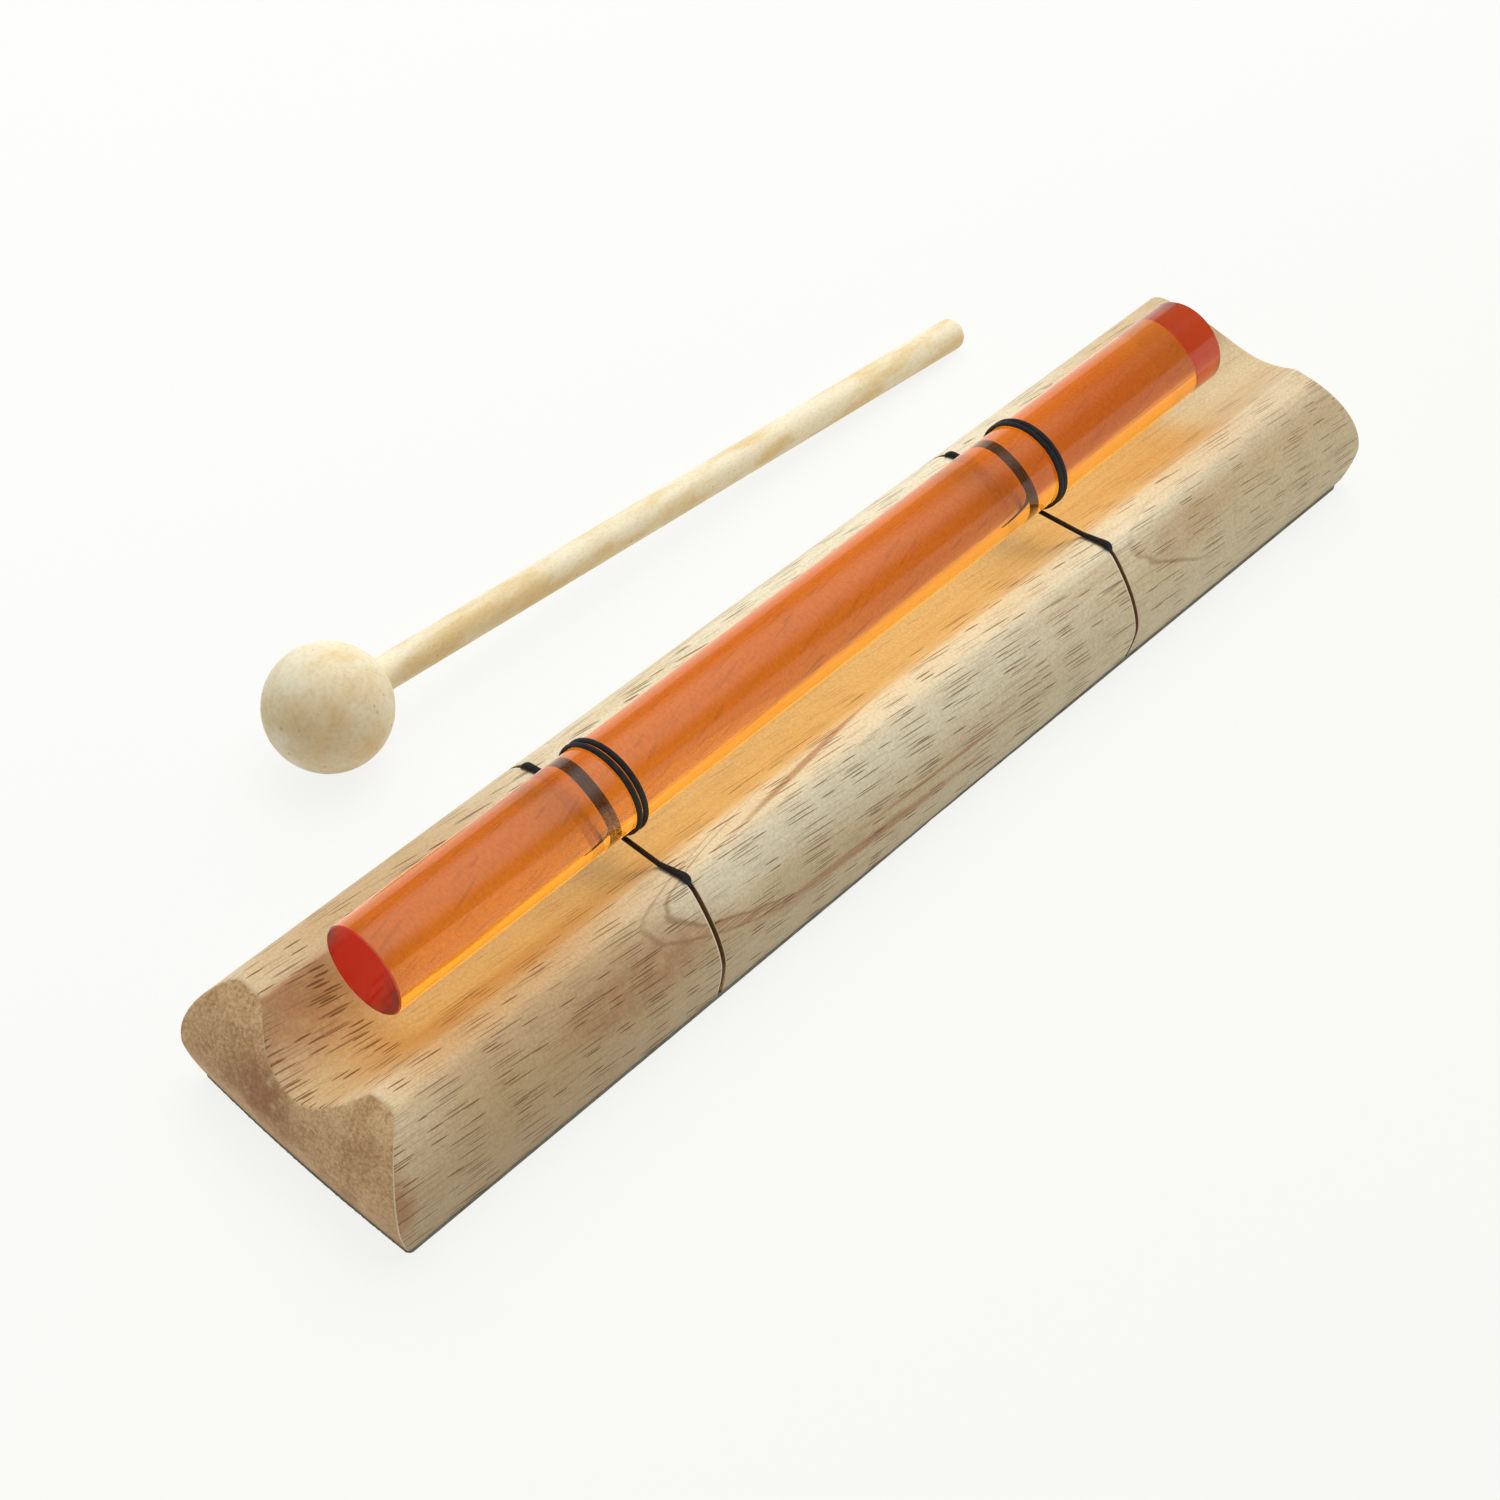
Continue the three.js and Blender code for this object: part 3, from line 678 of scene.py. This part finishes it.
def smoothed(mesh_builder, sharp_angle=math.radians(35)):
    """Rounds the shading everywhere but at edges that turn more than an angle."""
    mesh_builder.normal_update()
    for face in mesh_builder.faces:
        face.smooth = True
    for edge in mesh_builder.edges:
        edge.smooth = edge.calc_face_angle(0.0) < sharp_angle


def shown(name, mesh_builder, material):
    """Puts a mesh with its material into the scene."""
    mesh = bpy.data.meshes.new(name)
    mesh_builder.to_mesh(mesh)
    mesh_builder.free()
    mesh.materials.append(material)
    piece = bpy.data.objects.new(name, mesh)
    bpy.context.scene.collection.objects.link(piece)
    return piece


def finished(name, mesh_builder, material, nodes):
    """Makes a piece of a mesh, which stands for the frame's nodes of the same form."""
    smoothed(mesh_builder)
    piece = shown(name, mesh_builder, material)
    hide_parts(*nodes)
    return piece


def grown(result, *kinds):
    """What an extrusion made, in a list for each kind, such as faces."""
    return [[item for item in result["geom"] if isinstance(item, kind)] for kind in kinds]


def turned(outline, steps):
    """Spins an outline of (along, radius) pairs about the X axis."""
    shape = bmesh.new()
    points = [shape.verts.new((along, 0, radius)) for along, radius in outline]
    edges = [shape.edges.new(pair) for pair in zip(points, points[1:])]
    bmesh.ops.spin(shape, geom=points + edges, cent=(0, 0, 0), axis=(1, 0, 0),
                   angle=2 * math.pi, steps=steps, use_merge=True)
    bmesh.ops.remove_doubles(shape, verts=shape.verts, dist=0.001 * MM)
    bmesh.ops.recalc_face_normals(shape, faces=shape.faces)
    return shape


def arc(centre, radius, start, end, steps):
    """Points of a circle's arc as (along, radius) pairs."""
    angles = [start + (end - start) * step / steps for step in range(steps + 1)]
    return [(centre[0] + radius * math.cos(a), centre[1] + radius * math.sin(a)) for a in angles]


def from_axes(first, second, third, place):
    """The matrix with three axes and a place as its columns."""
    matrix = Matrix.Identity(4)
    for column, axis in enumerate((first, second, third, place)):
        matrix.col[column][:3] = axis
    return matrix


def strand(path, sides=20, closed=False):
    """An oval cord along a path of (place, direction of its flat side, width, thickness)."""
    shape = bmesh.new()
    count = len(path)
    frames = []
    for index, (place, flat, width, depth) in enumerate(path):
        before = path[(index - 1) % count if closed else max(index - 1, 0)][0]
        after = path[(index + 1) % count if closed else min(index + 1, count - 1)][0]
        tangent = (after - before).normalized()
        side = flat.cross(tangent).normalized()
        top = tangent.cross(side)
        frames.append(from_axes(side * width / 2, top * depth / 2, tangent, place))
    ring = bmesh.ops.create_circle(shape, segments=sides, radius=1, matrix=frames[0])["verts"]
    first = edges = list(dict.fromkeys(edge for point in ring for edge in point.link_edges))
    for before, after in zip(frames, frames[1:]):
        edges, points = grown(bmesh.ops.extrude_edge_only(shape, edges=edges),
                              bmesh.types.BMEdge, bmesh.types.BMVert)
        bmesh.ops.transform(shape, matrix=after @ before.inverted(), verts=points)
    if closed:
        bmesh.ops.bridge_loops(shape, edges=first + edges)
    else:
        bmesh.ops.contextual_create(shape, geom=first)
        bmesh.ops.contextual_create(shape, geom=edges)
    bmesh.ops.recalc_face_normals(shape, faces=shape.faces)
    return shape


class BaseShape:
    """Where the base's flanks, ends, top and saw cuts stand at any place."""

    flank_powers = {-1: 1.8, 1: 2.4}
    end_power = 2
    foot_power = 1.5
    groove_power = 1.9
    flank_share = 0.88
    corner_share = 0.25
    seat_inset = 0.4 * MM
    kerf_foot_inset = 4 * MM
    kerf_margin = 1 * MM
    kerf_softness = 0.12 * MM
    flare_power = 0.7
    plain_half = 130 * MM

    def __init__(self, look):
        self.look = look
        self.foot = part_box("base_pad")[1].z
        self.crest_half = look.groove_width / 2 + look.crest_width
        self.turn_height = look.waist + (look.height - look.waist) * self.flank_share
        self.rise = look.height - self.turn_height
        self.corner_height = look.height - self.rise * self.corner_share
        self.seat = self.crest_half - self.seat_inset
        self.kerf_foot = look.width / 2 - look.foot_inset - self.kerf_foot_inset

    def bulge(self, height, reach, foot_inset, crest_inset, power):
        """How far a flank or an end stands out at a height: most at the waist."""
        waist = self.look.waist
        if height < waist:
            below = (waist - height) / (waist - self.foot)
            return reach - foot_inset * min(below, 1) ** self.foot_power
        above = (height - waist) / (self.look.height - waist)
        return reach - crest_inset * min(above, 1) ** power

    def flank(self, height, hand):
        """How far the right (-1) or left (1) flank stands from the middle."""
        look = self.look
        half = look.width / 2
        side = [half, look.foot_inset, half - self.crest_half, self.flank_powers[hand]]
        if height <= self.turn_height:
            return self.bulge(height, *side)
        start = self.bulge(self.turn_height, *side)
        way = 1 - math.sqrt(max(look.height - height, 0) / self.rise)
        inner = self.crest_half - look.crest_rounding
        return start * (1 - way) ** 2 + 2 * self.crest_half * way * (1 - way) + inner * way ** 2

    def top(self, y, hand):
        """Height of the crests and the groove."""
        look = self.look
        inner = self.crest_half - look.crest_rounding
        corner = self.flank(self.corner_height, hand)
        fall = max(0, (abs(y) - inner) / (corner - inner)) ** 2
        crest = look.height - (look.height - self.corner_height) * fall
        share = abs(y - look.groove_shift) / (look.groove_width / 2)
        groove = look.height - look.groove_depth * (1 - share ** self.groove_power)
        return (crest + groove - math.hypot(crest - groove, look.groove_lip)) / 2

    def end(self, y, z, hand):
        """Place of the near (-1) or far (1) end along X."""
        look = self.look
        crown = look.near_crown if hand < 0 else look.far_crown
        crest_inset = look.near_crest_inset if hand < 0 else look.far_crest_inset
        reach = self.bulge(z, look.length / 2 - crown, look.end_foot_inset, crest_inset,
                           self.end_power)
        crowned = reach + crown * (1 - min(1, abs(y) / (look.width / 2)) ** 2)
        return hand * crowned + y * math.tan(look.skew)

    def outside(self, across, up, inset):
        """A point of the cross-section: across runs from -1 to 1, and up from 0 to 1."""
        hand = 1 if across > 0 else -1
        foot = self.foot + inset
        side_height = foot + up * (self.corner_height - inset - foot)
        y = across * (self.flank(side_height, hand) - inset)
        over = across * self.flank(self.corner_height, hand)
        return y, foot + up * (self.top(over, hand) - inset - foot)

    def sunk(self, y, z, depth):
        """A point moved towards the wood that a saw cut leaves, by a depth at most."""
        slope = (self.kerf_foot - self.seat) / (self.look.height - self.look.kerf_floor)
        core_z = max(z, self.look.kerf_floor)
        limit = self.seat + (self.look.height - core_z) * slope
        core_y = math.copysign(min(abs(y), limit), y)
        way = math.hypot(core_y - y, core_z - z)
        part = min(1, depth / way) if way else 0
        return y + (core_y - y) * part, z + (core_z - z) * part

    def stations(self):
        """Cross-sections from the near end to the far one, as (along, inset, depth of cut):
        along is a plain place, or a hand and a distance in from that end."""
        look = self.look
        rounding = look.edge_rounding
        steps = 6
        turns = [math.pi / 2 * step / steps for step in range(steps + 1)]
        near = [((-1, rounding * (1 - math.cos(a))), rounding * (1 - math.sin(a)), 0)
                for a in turns]
        far = [((1, distance), inset, 0) for (_, distance), inset, _ in reversed(near)]
        near.append(((-1, rounding * 2), 0, 0))
        far.insert(0, ((1, rounding * 2), 0, 0))
        body = [(-self.plain_half, 0, 0)]
        soft = self.kerf_softness
        for kerf, width in saw_cuts(look):
            side = [(width / 2 + self.kerf_margin, 0), (width / 2 + soft, 0), (width / 2, soft),
                    (width / 2, 1)]
            body += [(kerf - reach, 0, depth) for reach, depth in side]
            body += [(kerf + reach, 0, depth) for reach, depth in reversed(side)]
        body.append((self.plain_half, 0, 0))
        return near + body + far

    def flare(self, y, z, along):
        """How far the right flank's foot stands out further, towards the near end."""
        below = max(0, self.look.waist - z) / (self.look.waist - self.foot)
        near = max(0, -along / (self.look.length / 2)) ** self.flare_power
        side = max(0, -y / (self.look.width / 2))
        return -self.look.near_flare * below ** self.foot_power * near * side

    def point(self, across, up, station):
        along, inset, depth = station
        y, z = self.outside(across, up, inset)
        if isinstance(along, tuple):
            hand, distance = along
            x = self.end(y, z, hand) - hand * distance
            return x, y + self.flare(y, z, x), z
        y, z = self.sunk(y, z, depth)
        return along, y + self.flare(y, z, along) * (depth == 0), z


def base_mesh(look):
    """The block: a sheet of its cross-section, extruded from one end to the other."""
    shape = bmesh.new()
    form = BaseShape(look)
    across = shape.verts.layers.float.new("across")
    up = shape.verts.layers.float.new("up")
    points = bmesh.ops.create_grid(shape, x_segments=110, y_segments=26, size=1)["verts"]
    for point in points:
        point[across] = point.co.x
        point[up] = (point.co.y + 1) / 2
    faces = list(shape.faces)
    stations = form.stations()
    for number, station in enumerate(stations):
        if number:
            passed = faces
            faces, points = grown(bmesh.ops.extrude_face_region(shape, geom=passed),
                                  bmesh.types.BMFace, bmesh.types.BMVert)
        if number > 1:
            # Only the first sheet and the last stay, as the two ends
            bmesh.ops.delete(shape, geom=passed, context="FACES")
        for point in points:
            point.co = form.point(point[across], point[up], station)
    bmesh.ops.remove_doubles(shape, verts=shape.verts, dist=0.002 * MM)
    bmesh.ops.recalc_face_normals(shape, faces=shape.faces)
    shape.verts.layers.float.remove(across)
    shape.verts.layers.float.remove(up)
    return shape


def kerf_path(look, cord_look, hand):
    """The cord's way from a crest's inner edge round to the knot, as (y, z, normal)."""
    form = BaseShape(look)
    corner = 1.2 * MM
    seat = Vector((form.seat, look.height))
    foot = Vector((form.kerf_foot, look.kerf_floor))
    fall = math.atan2(seat.y - foot.y, foot.x - seat.x)
    flank_turn = math.pi / 2 - fall
    seat_centre = (seat.x - corner * math.tan((math.pi / 2 - flank_turn) / 2), seat.y - corner)
    foot_centre = (foot.x - corner * math.tan((math.pi / 2 + flank_turn) / 2), foot.y + corner)
    inner = look.groove_width / 2 + abs(look.groove_shift)
    way = []

    def straight(start, end, angle, steps):
        for step in range(1, steps):
            mid = Vector(start).lerp(Vector(end), step / steps)
            way.append((mid.x, mid.y, angle))

    def corner_turn(centre, start, end):
        steps = 8
        for step in range(steps + 1):
            angle = start + (end - start) * step / steps
            way.append((centre[0] + corner * math.cos(angle),
                        centre[1] + corner * math.sin(angle), angle))

    way.append((inner, seat.y, math.pi / 2))
    straight((inner, seat.y), (seat_centre[0], seat.y), math.pi / 2, 5)
    corner_turn(seat_centre, math.pi / 2, flank_turn)
    top, low = way[-1], (foot_centre[0] + corner * math.cos(flank_turn),
                         foot_centre[1] + corner * math.sin(flank_turn))
    straight(top[:2], low, flank_turn, 10)
    corner_turn(foot_centre, flank_turn, -math.pi / 2)
    straight((foot_centre[0], foot.y), (knot_reach(cord_look), foot.y), -math.pi / 2, 8)
    way.append((knot_reach(cord_look), foot.y, -math.pi / 2))
    return [(hand * y, z, Vector((0, hand * math.cos(a), math.sin(a)))) for y, z, a in way]


def knot_reach(cord_look):
    return cord_look.knot_radius * 1.5 + cord_look.knot_cord


def run_path(look, cord_look, kerf, kerf_width, hand):
    """Places, flat sides and sizes of the cord in a saw cut: flat on the crest, where it
    widens outwards, and thin from where it dips into the cut."""
    path = []
    way = kerf_path(look, cord_look, hand)
    inner, outer = look.groove_width / 2, BaseShape(look).seat
    thin = kerf_width - cord_look.kerf_gap
    for y, z, normal in way:
        share = max(0, min(1, (abs(y) - inner) / (outer - inner)))
        shift = 0
        width = depth = thin
        if normal.z > 0.3:
            shift = hand * cord_look.crest_shift * (1 - share)
            width = cord_look.span_width + (cord_look.crest_width
                                            - cord_look.span_width) * share ** 1.4
            dip = min(1, (1 - normal.z) / 0.7)
            width += (thin - width) * dip ** 2 * 0.8
            depth = cord_look.crest_depth
        place = Vector((kerf + shift, y, z)) + normal * (depth / 2 + TOUCH_GAP)
        path.append((place, normal, width, depth))
    return path


def rod_frame(look, base_look):
    """Where the rod lies: its middle and its heading."""
    height = base_look.height + look.rise + look.diameter / 2
    return (Matrix.Translation((look.along, look.across, height))
            @ Matrix.Rotation(look.heading, 4, "Z"))


def wrap_path(rod_look, cord_look, x, pitch, width):
    """Two turns round the rod, from under it on the right to under it on the left."""
    radius = rod_look.diameter / 2 + cord_look.turn_depth / 2 + TOUCH_GAP
    turns = 2
    steps = 48 * turns
    path = []
    for step in range(steps + 1):
        share = turns * step / steps
        angle = share * 2 * math.pi
        outward = Vector((0, math.sin(angle), -math.cos(angle)))
        place = outward * radius
        place.x = x + pitch * (share - turns / 2)
        path.append((place, outward, width, cord_look.turn_depth))
    lead = cord_look.span_width
    # A lead at each side, of which the left one folds back to the last point, under the rod
    for index, hand in ((0, -1), (len(path), 1)):
        end = path[min(index, len(path) - 1)][0] + Vector((0, hand * lead, 0))
        path.insert(index, (end, Vector((0, 0, -1)), lead, cord_look.turn_depth))
    return path


class CHIME_OT_base(bpy.types.Operator):
    """Make the wooden base with its groove, crowned ends and saw cuts"""

    bl_idname = "chime.base"
    bl_label = "Base Block"

    def execute(self, context):
        look = sizes(context, "base")
        block = finished("base_block_fine", base_mesh(look), base_wood(look),
                         ["base_block"])
        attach(block, "base")
        return {"FINISHED"}


class CHIME_OT_felt(bpy.types.Operator):
    """Make the thin felt under the base"""

    bl_idname = "chime.felt"
    bl_label = "Felt"

    corner_radius = 1.2 * MM
    swell = 0.12 * MM
    tufts_per_metre = 1500

    def execute(self, context):
        look = sizes(context, "base")
        form = BaseShape(look)
        low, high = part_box("base_pad")
        low.x -= look.felt_near_reach
        high.x += look.felt_far_reach
        width = look.width - 2 * look.foot_inset
        slope = math.tan(look.skew)
        length = high.x - low.x - slope * width
        shape = bmesh.new()
        bmesh.ops.create_cube(shape, size=1)
        bmesh.ops.scale(shape, vec=(length, width, high.z), verts=shape.verts)
        middle = Vector(((low.x + high.x) / 2, 0, high.z / 2))
        bmesh.ops.translate(shape, vec=middle, verts=shape.verts)
        bmesh.ops.bevel(shape, geom=upright(shape, high.z / 2), offset=self.corner_radius,
                        offset_type="OFFSET", segments=5, affect="EDGES", profile=0.5,
                        material=-1)
        flat = [face for face in shape.faces if abs(face.normal.z) > 0.5]
        bmesh.ops.delete(shape, geom=flat, context="FACES_ONLY")
        long_edges = [edge for edge in shape.edges if edge.calc_length() > width / 2]
        bmesh.ops.subdivide_edges(shape, edges=long_edges, cuts=180, use_grid_fill=True)
        bmesh.ops.subdivide_edges(shape, edges=upright(shape, high.z / 2), cuts=3,
                                  use_grid_fill=True)
        for point in shape.verts:
            fuzz = noise.noise(point.co * self.tufts_per_metre) * self.swell
            outward = Vector((point.co.x - middle.x, point.co.y, 0)).normalized()
            round_side = 1 - abs(point.co.z / high.z * 2 - 1)
            point.co += outward * (fuzz + round_side * self.swell)
            ahead = max(0, middle.x - point.co.x) / (middle.x - low.x)
            crown = look.near_crown * (1 - (point.co.y / (width / 2)) ** 2)
            point.co.x += point.co.y * slope - crown * ahead
            point.co.y += form.flare(point.co.y, form.foot, point.co.x)
        rims = [edge for edge in shape.edges if edge.is_boundary]
        bmesh.ops.holes_fill(shape, edges=rims, sides=0)
        bmesh.ops.recalc_face_normals(shape, faces=shape.faces)
        felt = finished("base_felt_fine", shape, base_felt(look), ["base_pad"])
        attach(felt, "base")
        return {"FINISHED"}


class CHIME_OT_rod(bpy.types.Operator):
    """Make the clear tinted rod"""

    bl_idname = "chime.rod"
    bl_label = "Rod"

    def execute(self, context):
        look = sizes(context, "rod")
        radius = look.diameter / 2
        half = look.length / 2
        rim = look.chamfer
        outline = [(-half, 0), (-half, radius - rim), (rim - half, radius)]
        outline += [(-along, reach) for along, reach in reversed(outline)]
        shape = turned(outline, 192)
        placed = rod_frame(look, sizes(context, "base"))
        bmesh.ops.transform(shape, matrix=placed, verts=shape.verts)
        tint = rod_tint(look, placed.translation)
        rod = finished("chime_rod_fine", shape, tint, ["chime_rod"])
        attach(rod, "rod")
        return {"FINISHED"}


class CHIME_OT_cords(bpy.types.Operator):
    """Make both elastic cords: runs in the saw cuts, knots, spans and turns round the rod"""

    bl_idname = "chime.cords"
    bl_label = "Elastic Cords"

    def execute(self, context):
        look = sizes(context, "cord")
        base_look = sizes(context, "base")
        rod_look = sizes(context, "rod")
        black = cord_black(look)
        placed = rod_frame(rod_look, base_look)
        for label, (kerf, kerf_width) in zip(("near", "far"), saw_cuts(base_look)):
            shift, pitch, width = (getattr(look, f"{label}_{name}")
                                   for name in ("shift", "pitch", "turn"))
            turns = wrap_path(rod_look, look, kerf + shift - rod_look.along, pitch, width)
            wrap = strand(turns)
            bmesh.ops.transform(wrap, matrix=placed, verts=wrap.verts)
            wrap = finished(f"{label}_turns_fine", wrap, black,
                            [f"{label}_cord_wrap"])
            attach(wrap, "rod")
            self.knot(look, label, kerf, black)
            for side, hand in (("right", -1), ("left", 1)):
                path = run_path(base_look, look, kerf, kerf_width, hand)
                run = finished(f"{label}_run_{side}_fine", strand(path), black,
                               [f"{label}_cord_run_{side}"])
                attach(run, "base")
                at_rod = (turns[0][0] + turns[-1][0]) / 2
                at_rod.y = turns[0 if hand < 0 else -1][0].y
                at_rod = placed @ at_rod
                self.span(look, f"{label}_{{}}_{side}", path[0], at_rod, hand, black)
        return {"FINISHED"}

    def knot(self, look, label, kerf, black):
        """A trefoil of the tied ends, hidden in the base's underside"""
        low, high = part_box(f"{label}_cord_knot")
        centre = (low + high) / 2
        centre.x = kerf
        path = []
        steps = 96
        for step in range(steps):
            angle = step / steps * 4 * math.pi
            reach = look.knot_radius * (2 + math.cos(1.5 * angle)) / 2
            lift = look.knot_radius * math.sin(1.5 * angle) / 2
            outward = Vector((math.cos(angle), math.sin(angle), 0))
            place = centre + outward * reach + Vector((0, 0, lift))
            path.append((place, Vector((0, 0, 1)), look.knot_cord * 2, look.knot_cord * 2))
        shape = strand(path, sides=12, closed=True)
        knot = finished(f"{label}_knot_fine", shape, black,
                        [f"{label}_cord_knot"])
        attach(knot, "base")

    def span(self, look, name, crest, at_rod, hand, black):
        """The stretch between a crest and the rod, which gives as the rod moves"""
        place, flat, width, depth = crest
        path = []
        steps = 14
        for step in range(steps + 1):
            share = step / steps
            path.append((place.lerp(at_rod, share), flat,
                         width + (look.span_width - width) * share,
                         depth + (look.turn_depth - depth) * share))
        piece = finished(name.format("span") + "_fine", strand(path), black,
                         [name.format("cord_span")])
        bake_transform(piece, "base", "rod", start=place, end=at_rod)


class CHIME_OT_mallet(bpy.types.Operator):
    """Make the mallet: a turned ball on a dowel"""

    bl_idname = "chime.mallet"
    bl_label = "Mallet"

    def execute(self, context):
        look = sizes(context, "mallet")
        drop = (look.ball - look.handle) / 2
        tilt = math.asin(drop / (look.reach - look.tip))
        placed = (Matrix.Translation((look.along, look.across, look.ball / 2))
                  @ Matrix.Rotation(look.heading, 4, "Z") @ Matrix.Rotation(tilt, 4, "Y"))
        pieces = (("mallet_head", self.head(look), (60, 70, 70), (900, 900, 900)),
                  ("mallet_handle", self.handle(look), (50, 160, 160), (900, 2200, 2200)))
        for name, shape, clouds_scale, grain_scale in pieces:
            bmesh.ops.transform(shape, matrix=placed, verts=shape.verts)
            material = mallet_wood(look, f"{name}_birch", clouds_scale, grain_scale)
            piece = finished(f"{name}_fine", shape, material, [name])
            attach(piece, "mallet")
        return {"FINISHED"}

    pip_way = Vector((-0.784, -0.288, 0.549))
    pip_reach = 1.3 * MM
    pip_lift = 0.12 * MM
    swell = 0.1 * MM
    swells_per_metre = 70
    hole_gap = 0.05 * MM
    hole_lip = 0.5 * MM
    seat_gap = 0.3 * MM

    def head(self, look):
        """The ball, with its blind hole, a small pip and a slightly uneven skin"""
        radius = look.ball / 2
        hole = look.handle / 2 + self.hole_gap
        mouth = math.asin(hole / radius)
        outline = arc((0, 0), radius, math.pi, mouth, 72)
        outline[0] = (-radius, 0)
        floor = radius - look.socket
        outline += [(radius * math.cos(mouth) - self.hole_lip, hole), (floor, hole), (floor, 0)]
        shape = turned(outline, 128)
        pip = self.pip_way * radius
        for point in shape.verts:
            if point.co.length < radius - self.swell:
                continue
            swell = noise.noise(point.co * self.swells_per_metre) * self.swell
            near_pip = max(0, 1 - (point.co - pip).length / self.pip_reach)
            point.co += point.co.normalized() * (swell + self.pip_lift * near_pip)
        return shape

    def handle(self, look):
        """The dowel, from its seat in the ball to its rounded end"""
        radius = look.handle / 2
        seat = look.ball / 2 - look.socket + self.seat_gap
        outline = [(seat, 0), (seat, radius)]
        outline += arc((look.reach - look.tip, radius - look.tip), look.tip, math.pi / 2, 0, 10)
        outline.append((look.reach, 0))
        return turned(outline, 96)


class CHIME_OT_stage(bpy.types.Operator):
    """Set up the camera, the pale floor, the world and the lamp"""

    bl_idname = "chime.stage"
    bl_label = "Stage"

    def execute(self, context):
        look = sizes(context, "stage")
        self.camera(context, look)
        self.floor(look)
        context.scene.world = self.world(look)
        self.lamp(context, look)
        context.scene.view_settings.view_transform = "Standard"
        return {"FINISHED"}

    def camera(self, context, look):
        """The photograph's viewing angle"""
        aim = Vector((-math.sin(look.azimuth) * math.cos(look.elevation),
                      math.cos(look.azimuth) * math.cos(look.elevation),
                      -math.sin(look.elevation)))
        right = aim.cross(Vector((0, 0, 1))).normalized()
        above = right.cross(aim)
        rolled = right * math.cos(look.roll) + above * math.sin(look.roll)
        top = above * math.cos(look.roll) - right * math.sin(look.roll)
        data = bpy.data.cameras.new("camera")
        data.lens = look.lens
        data.sensor_width = SENSOR_WIDTH
        data.clip_start = 0.01
        data.shift_y = PICTURE_SHIFT / PICTURE_SIDE
        camera = bpy.data.objects.new("camera", data)
        camera.matrix_world = from_axes(rolled, top, -aim, Vector(look.camera))
        context.scene.collection.objects.link(camera)
        context.scene.camera = camera

    def floor(self, look):
        """A wide pale floor, bright to the camera, which still takes the shadow"""
        paint = Finish("floor_paint")
        plain = paint.add("BsdfDiffuse", {"Color": (0.86, 0.86, 0.85, 1.0)})
        # Painted falloff of light: the floor's white dims slightly towards the front
        white = paint.mix(paint.axis("Y").rises(-0.25, 0.35), look.floor, (1.0, 1.0, 0.99))
        bright = paint.add("Emission", {"Color": white, "Strength": 1.0})
        seen = paint.seen("Camera", "Glossy", "Transmission")
        surface = paint.blended(seen * look.floor_glow, plain, bright)
        shape = bmesh.new()
        bmesh.ops.create_circle(shape, cap_ends=True, segments=96, radius=look.floor_radius)
        floor = shown("floor", shape, paint.output(surface))

    oval_scale = (3.6, 1.33, 0.0)
    oval_shift = (-1.5, 0.0, 0.0)

    def world(self, look):
        """A white backdrop all round, under a soft ceiling with one brighter oval across"""
        world = Finish("studio", "worlds")
        way = world.add("TexCoord", output="Generated")
        oval = world.length(world.vectors("MULTIPLY_ADD", way, self.oval_scale,
                                          self.oval_shift))
        height = world.add("SeparateXYZ", {0: way}, "Z")
        above = height.rises(0.2, 0.4)
        soft = look.ceiling + oval.rises(1.0, 0.45) * above * look.oval
        backdrop = highest(world.seen("Camera", "Transmission"),
                           world.seen("Glossy") * (1 - above))
        light = world.add("Background", {"Color": (1.0, 1.0, 1.0, 1.0),
                                         "Strength": soft.higher(backdrop)})
        return world.output(light, "World")

    def lamp(self, context, look):
        """A square soft lamp from the far left, which the rod itself doesn't mirror"""
        data = bpy.data.lights.new("key", "AREA")
        data.shape = "SQUARE"
        data.size = look.lamp_side
        data.energy = look.lamp_power
        lamp = bpy.data.objects.new("key", data)
        lamp.location = look.lamp
        aim = Vector(look.lamp_target) - lamp.location
        lamp.rotation_euler = aim.to_track_quat("-Z", "Y").to_euler()
        lamp.visible_glossy = False
        context.scene.collection.objects.link(lamp)


class CHIME_PT_sidebar(bpy.types.Panel):
    """Lists the pieces of the chime bar"""

    bl_label = "Chime Bar"
    bl_space_type = "VIEW_3D"
    bl_region_type = "UI"
    bl_category = "Chime Bar"

    def draw(self, context):
        for piece in PIECES:
            self.layout.operator(piece.bl_idname)


LOOKS = {"base": BaseLook, "rod": RodLook, "cord": CordLook, "mallet": MalletLook,
         "stage": StageLook}
PIECES = (CHIME_OT_stage, CHIME_OT_base, CHIME_OT_felt, CHIME_OT_rod, CHIME_OT_cords,
          CHIME_OT_mallet)


def register():
    for kind in (*LOOKS.values(), *PIECES, CHIME_PT_sidebar):
        bpy.utils.register_class(kind)
    for name, kind in LOOKS.items():
        setattr(bpy.types.Scene, f"chime_{name}", PointerProperty(type=kind))


def unregister():
    for name in LOOKS:
        delattr(bpy.types.Scene, f"chime_{name}")
    for kind in (CHIME_PT_sidebar, *reversed(PIECES), *LOOKS.values()):
        bpy.utils.unregister_class(kind)


def main():
    register()
    bpy.ops.chime.stage()
    bpy.ops.chime.base()
    bpy.ops.chime.felt()
    bpy.ops.chime.rod()
    bpy.ops.chime.cords()
    bpy.ops.chime.mallet()


if __name__ == "__main__":
    main()
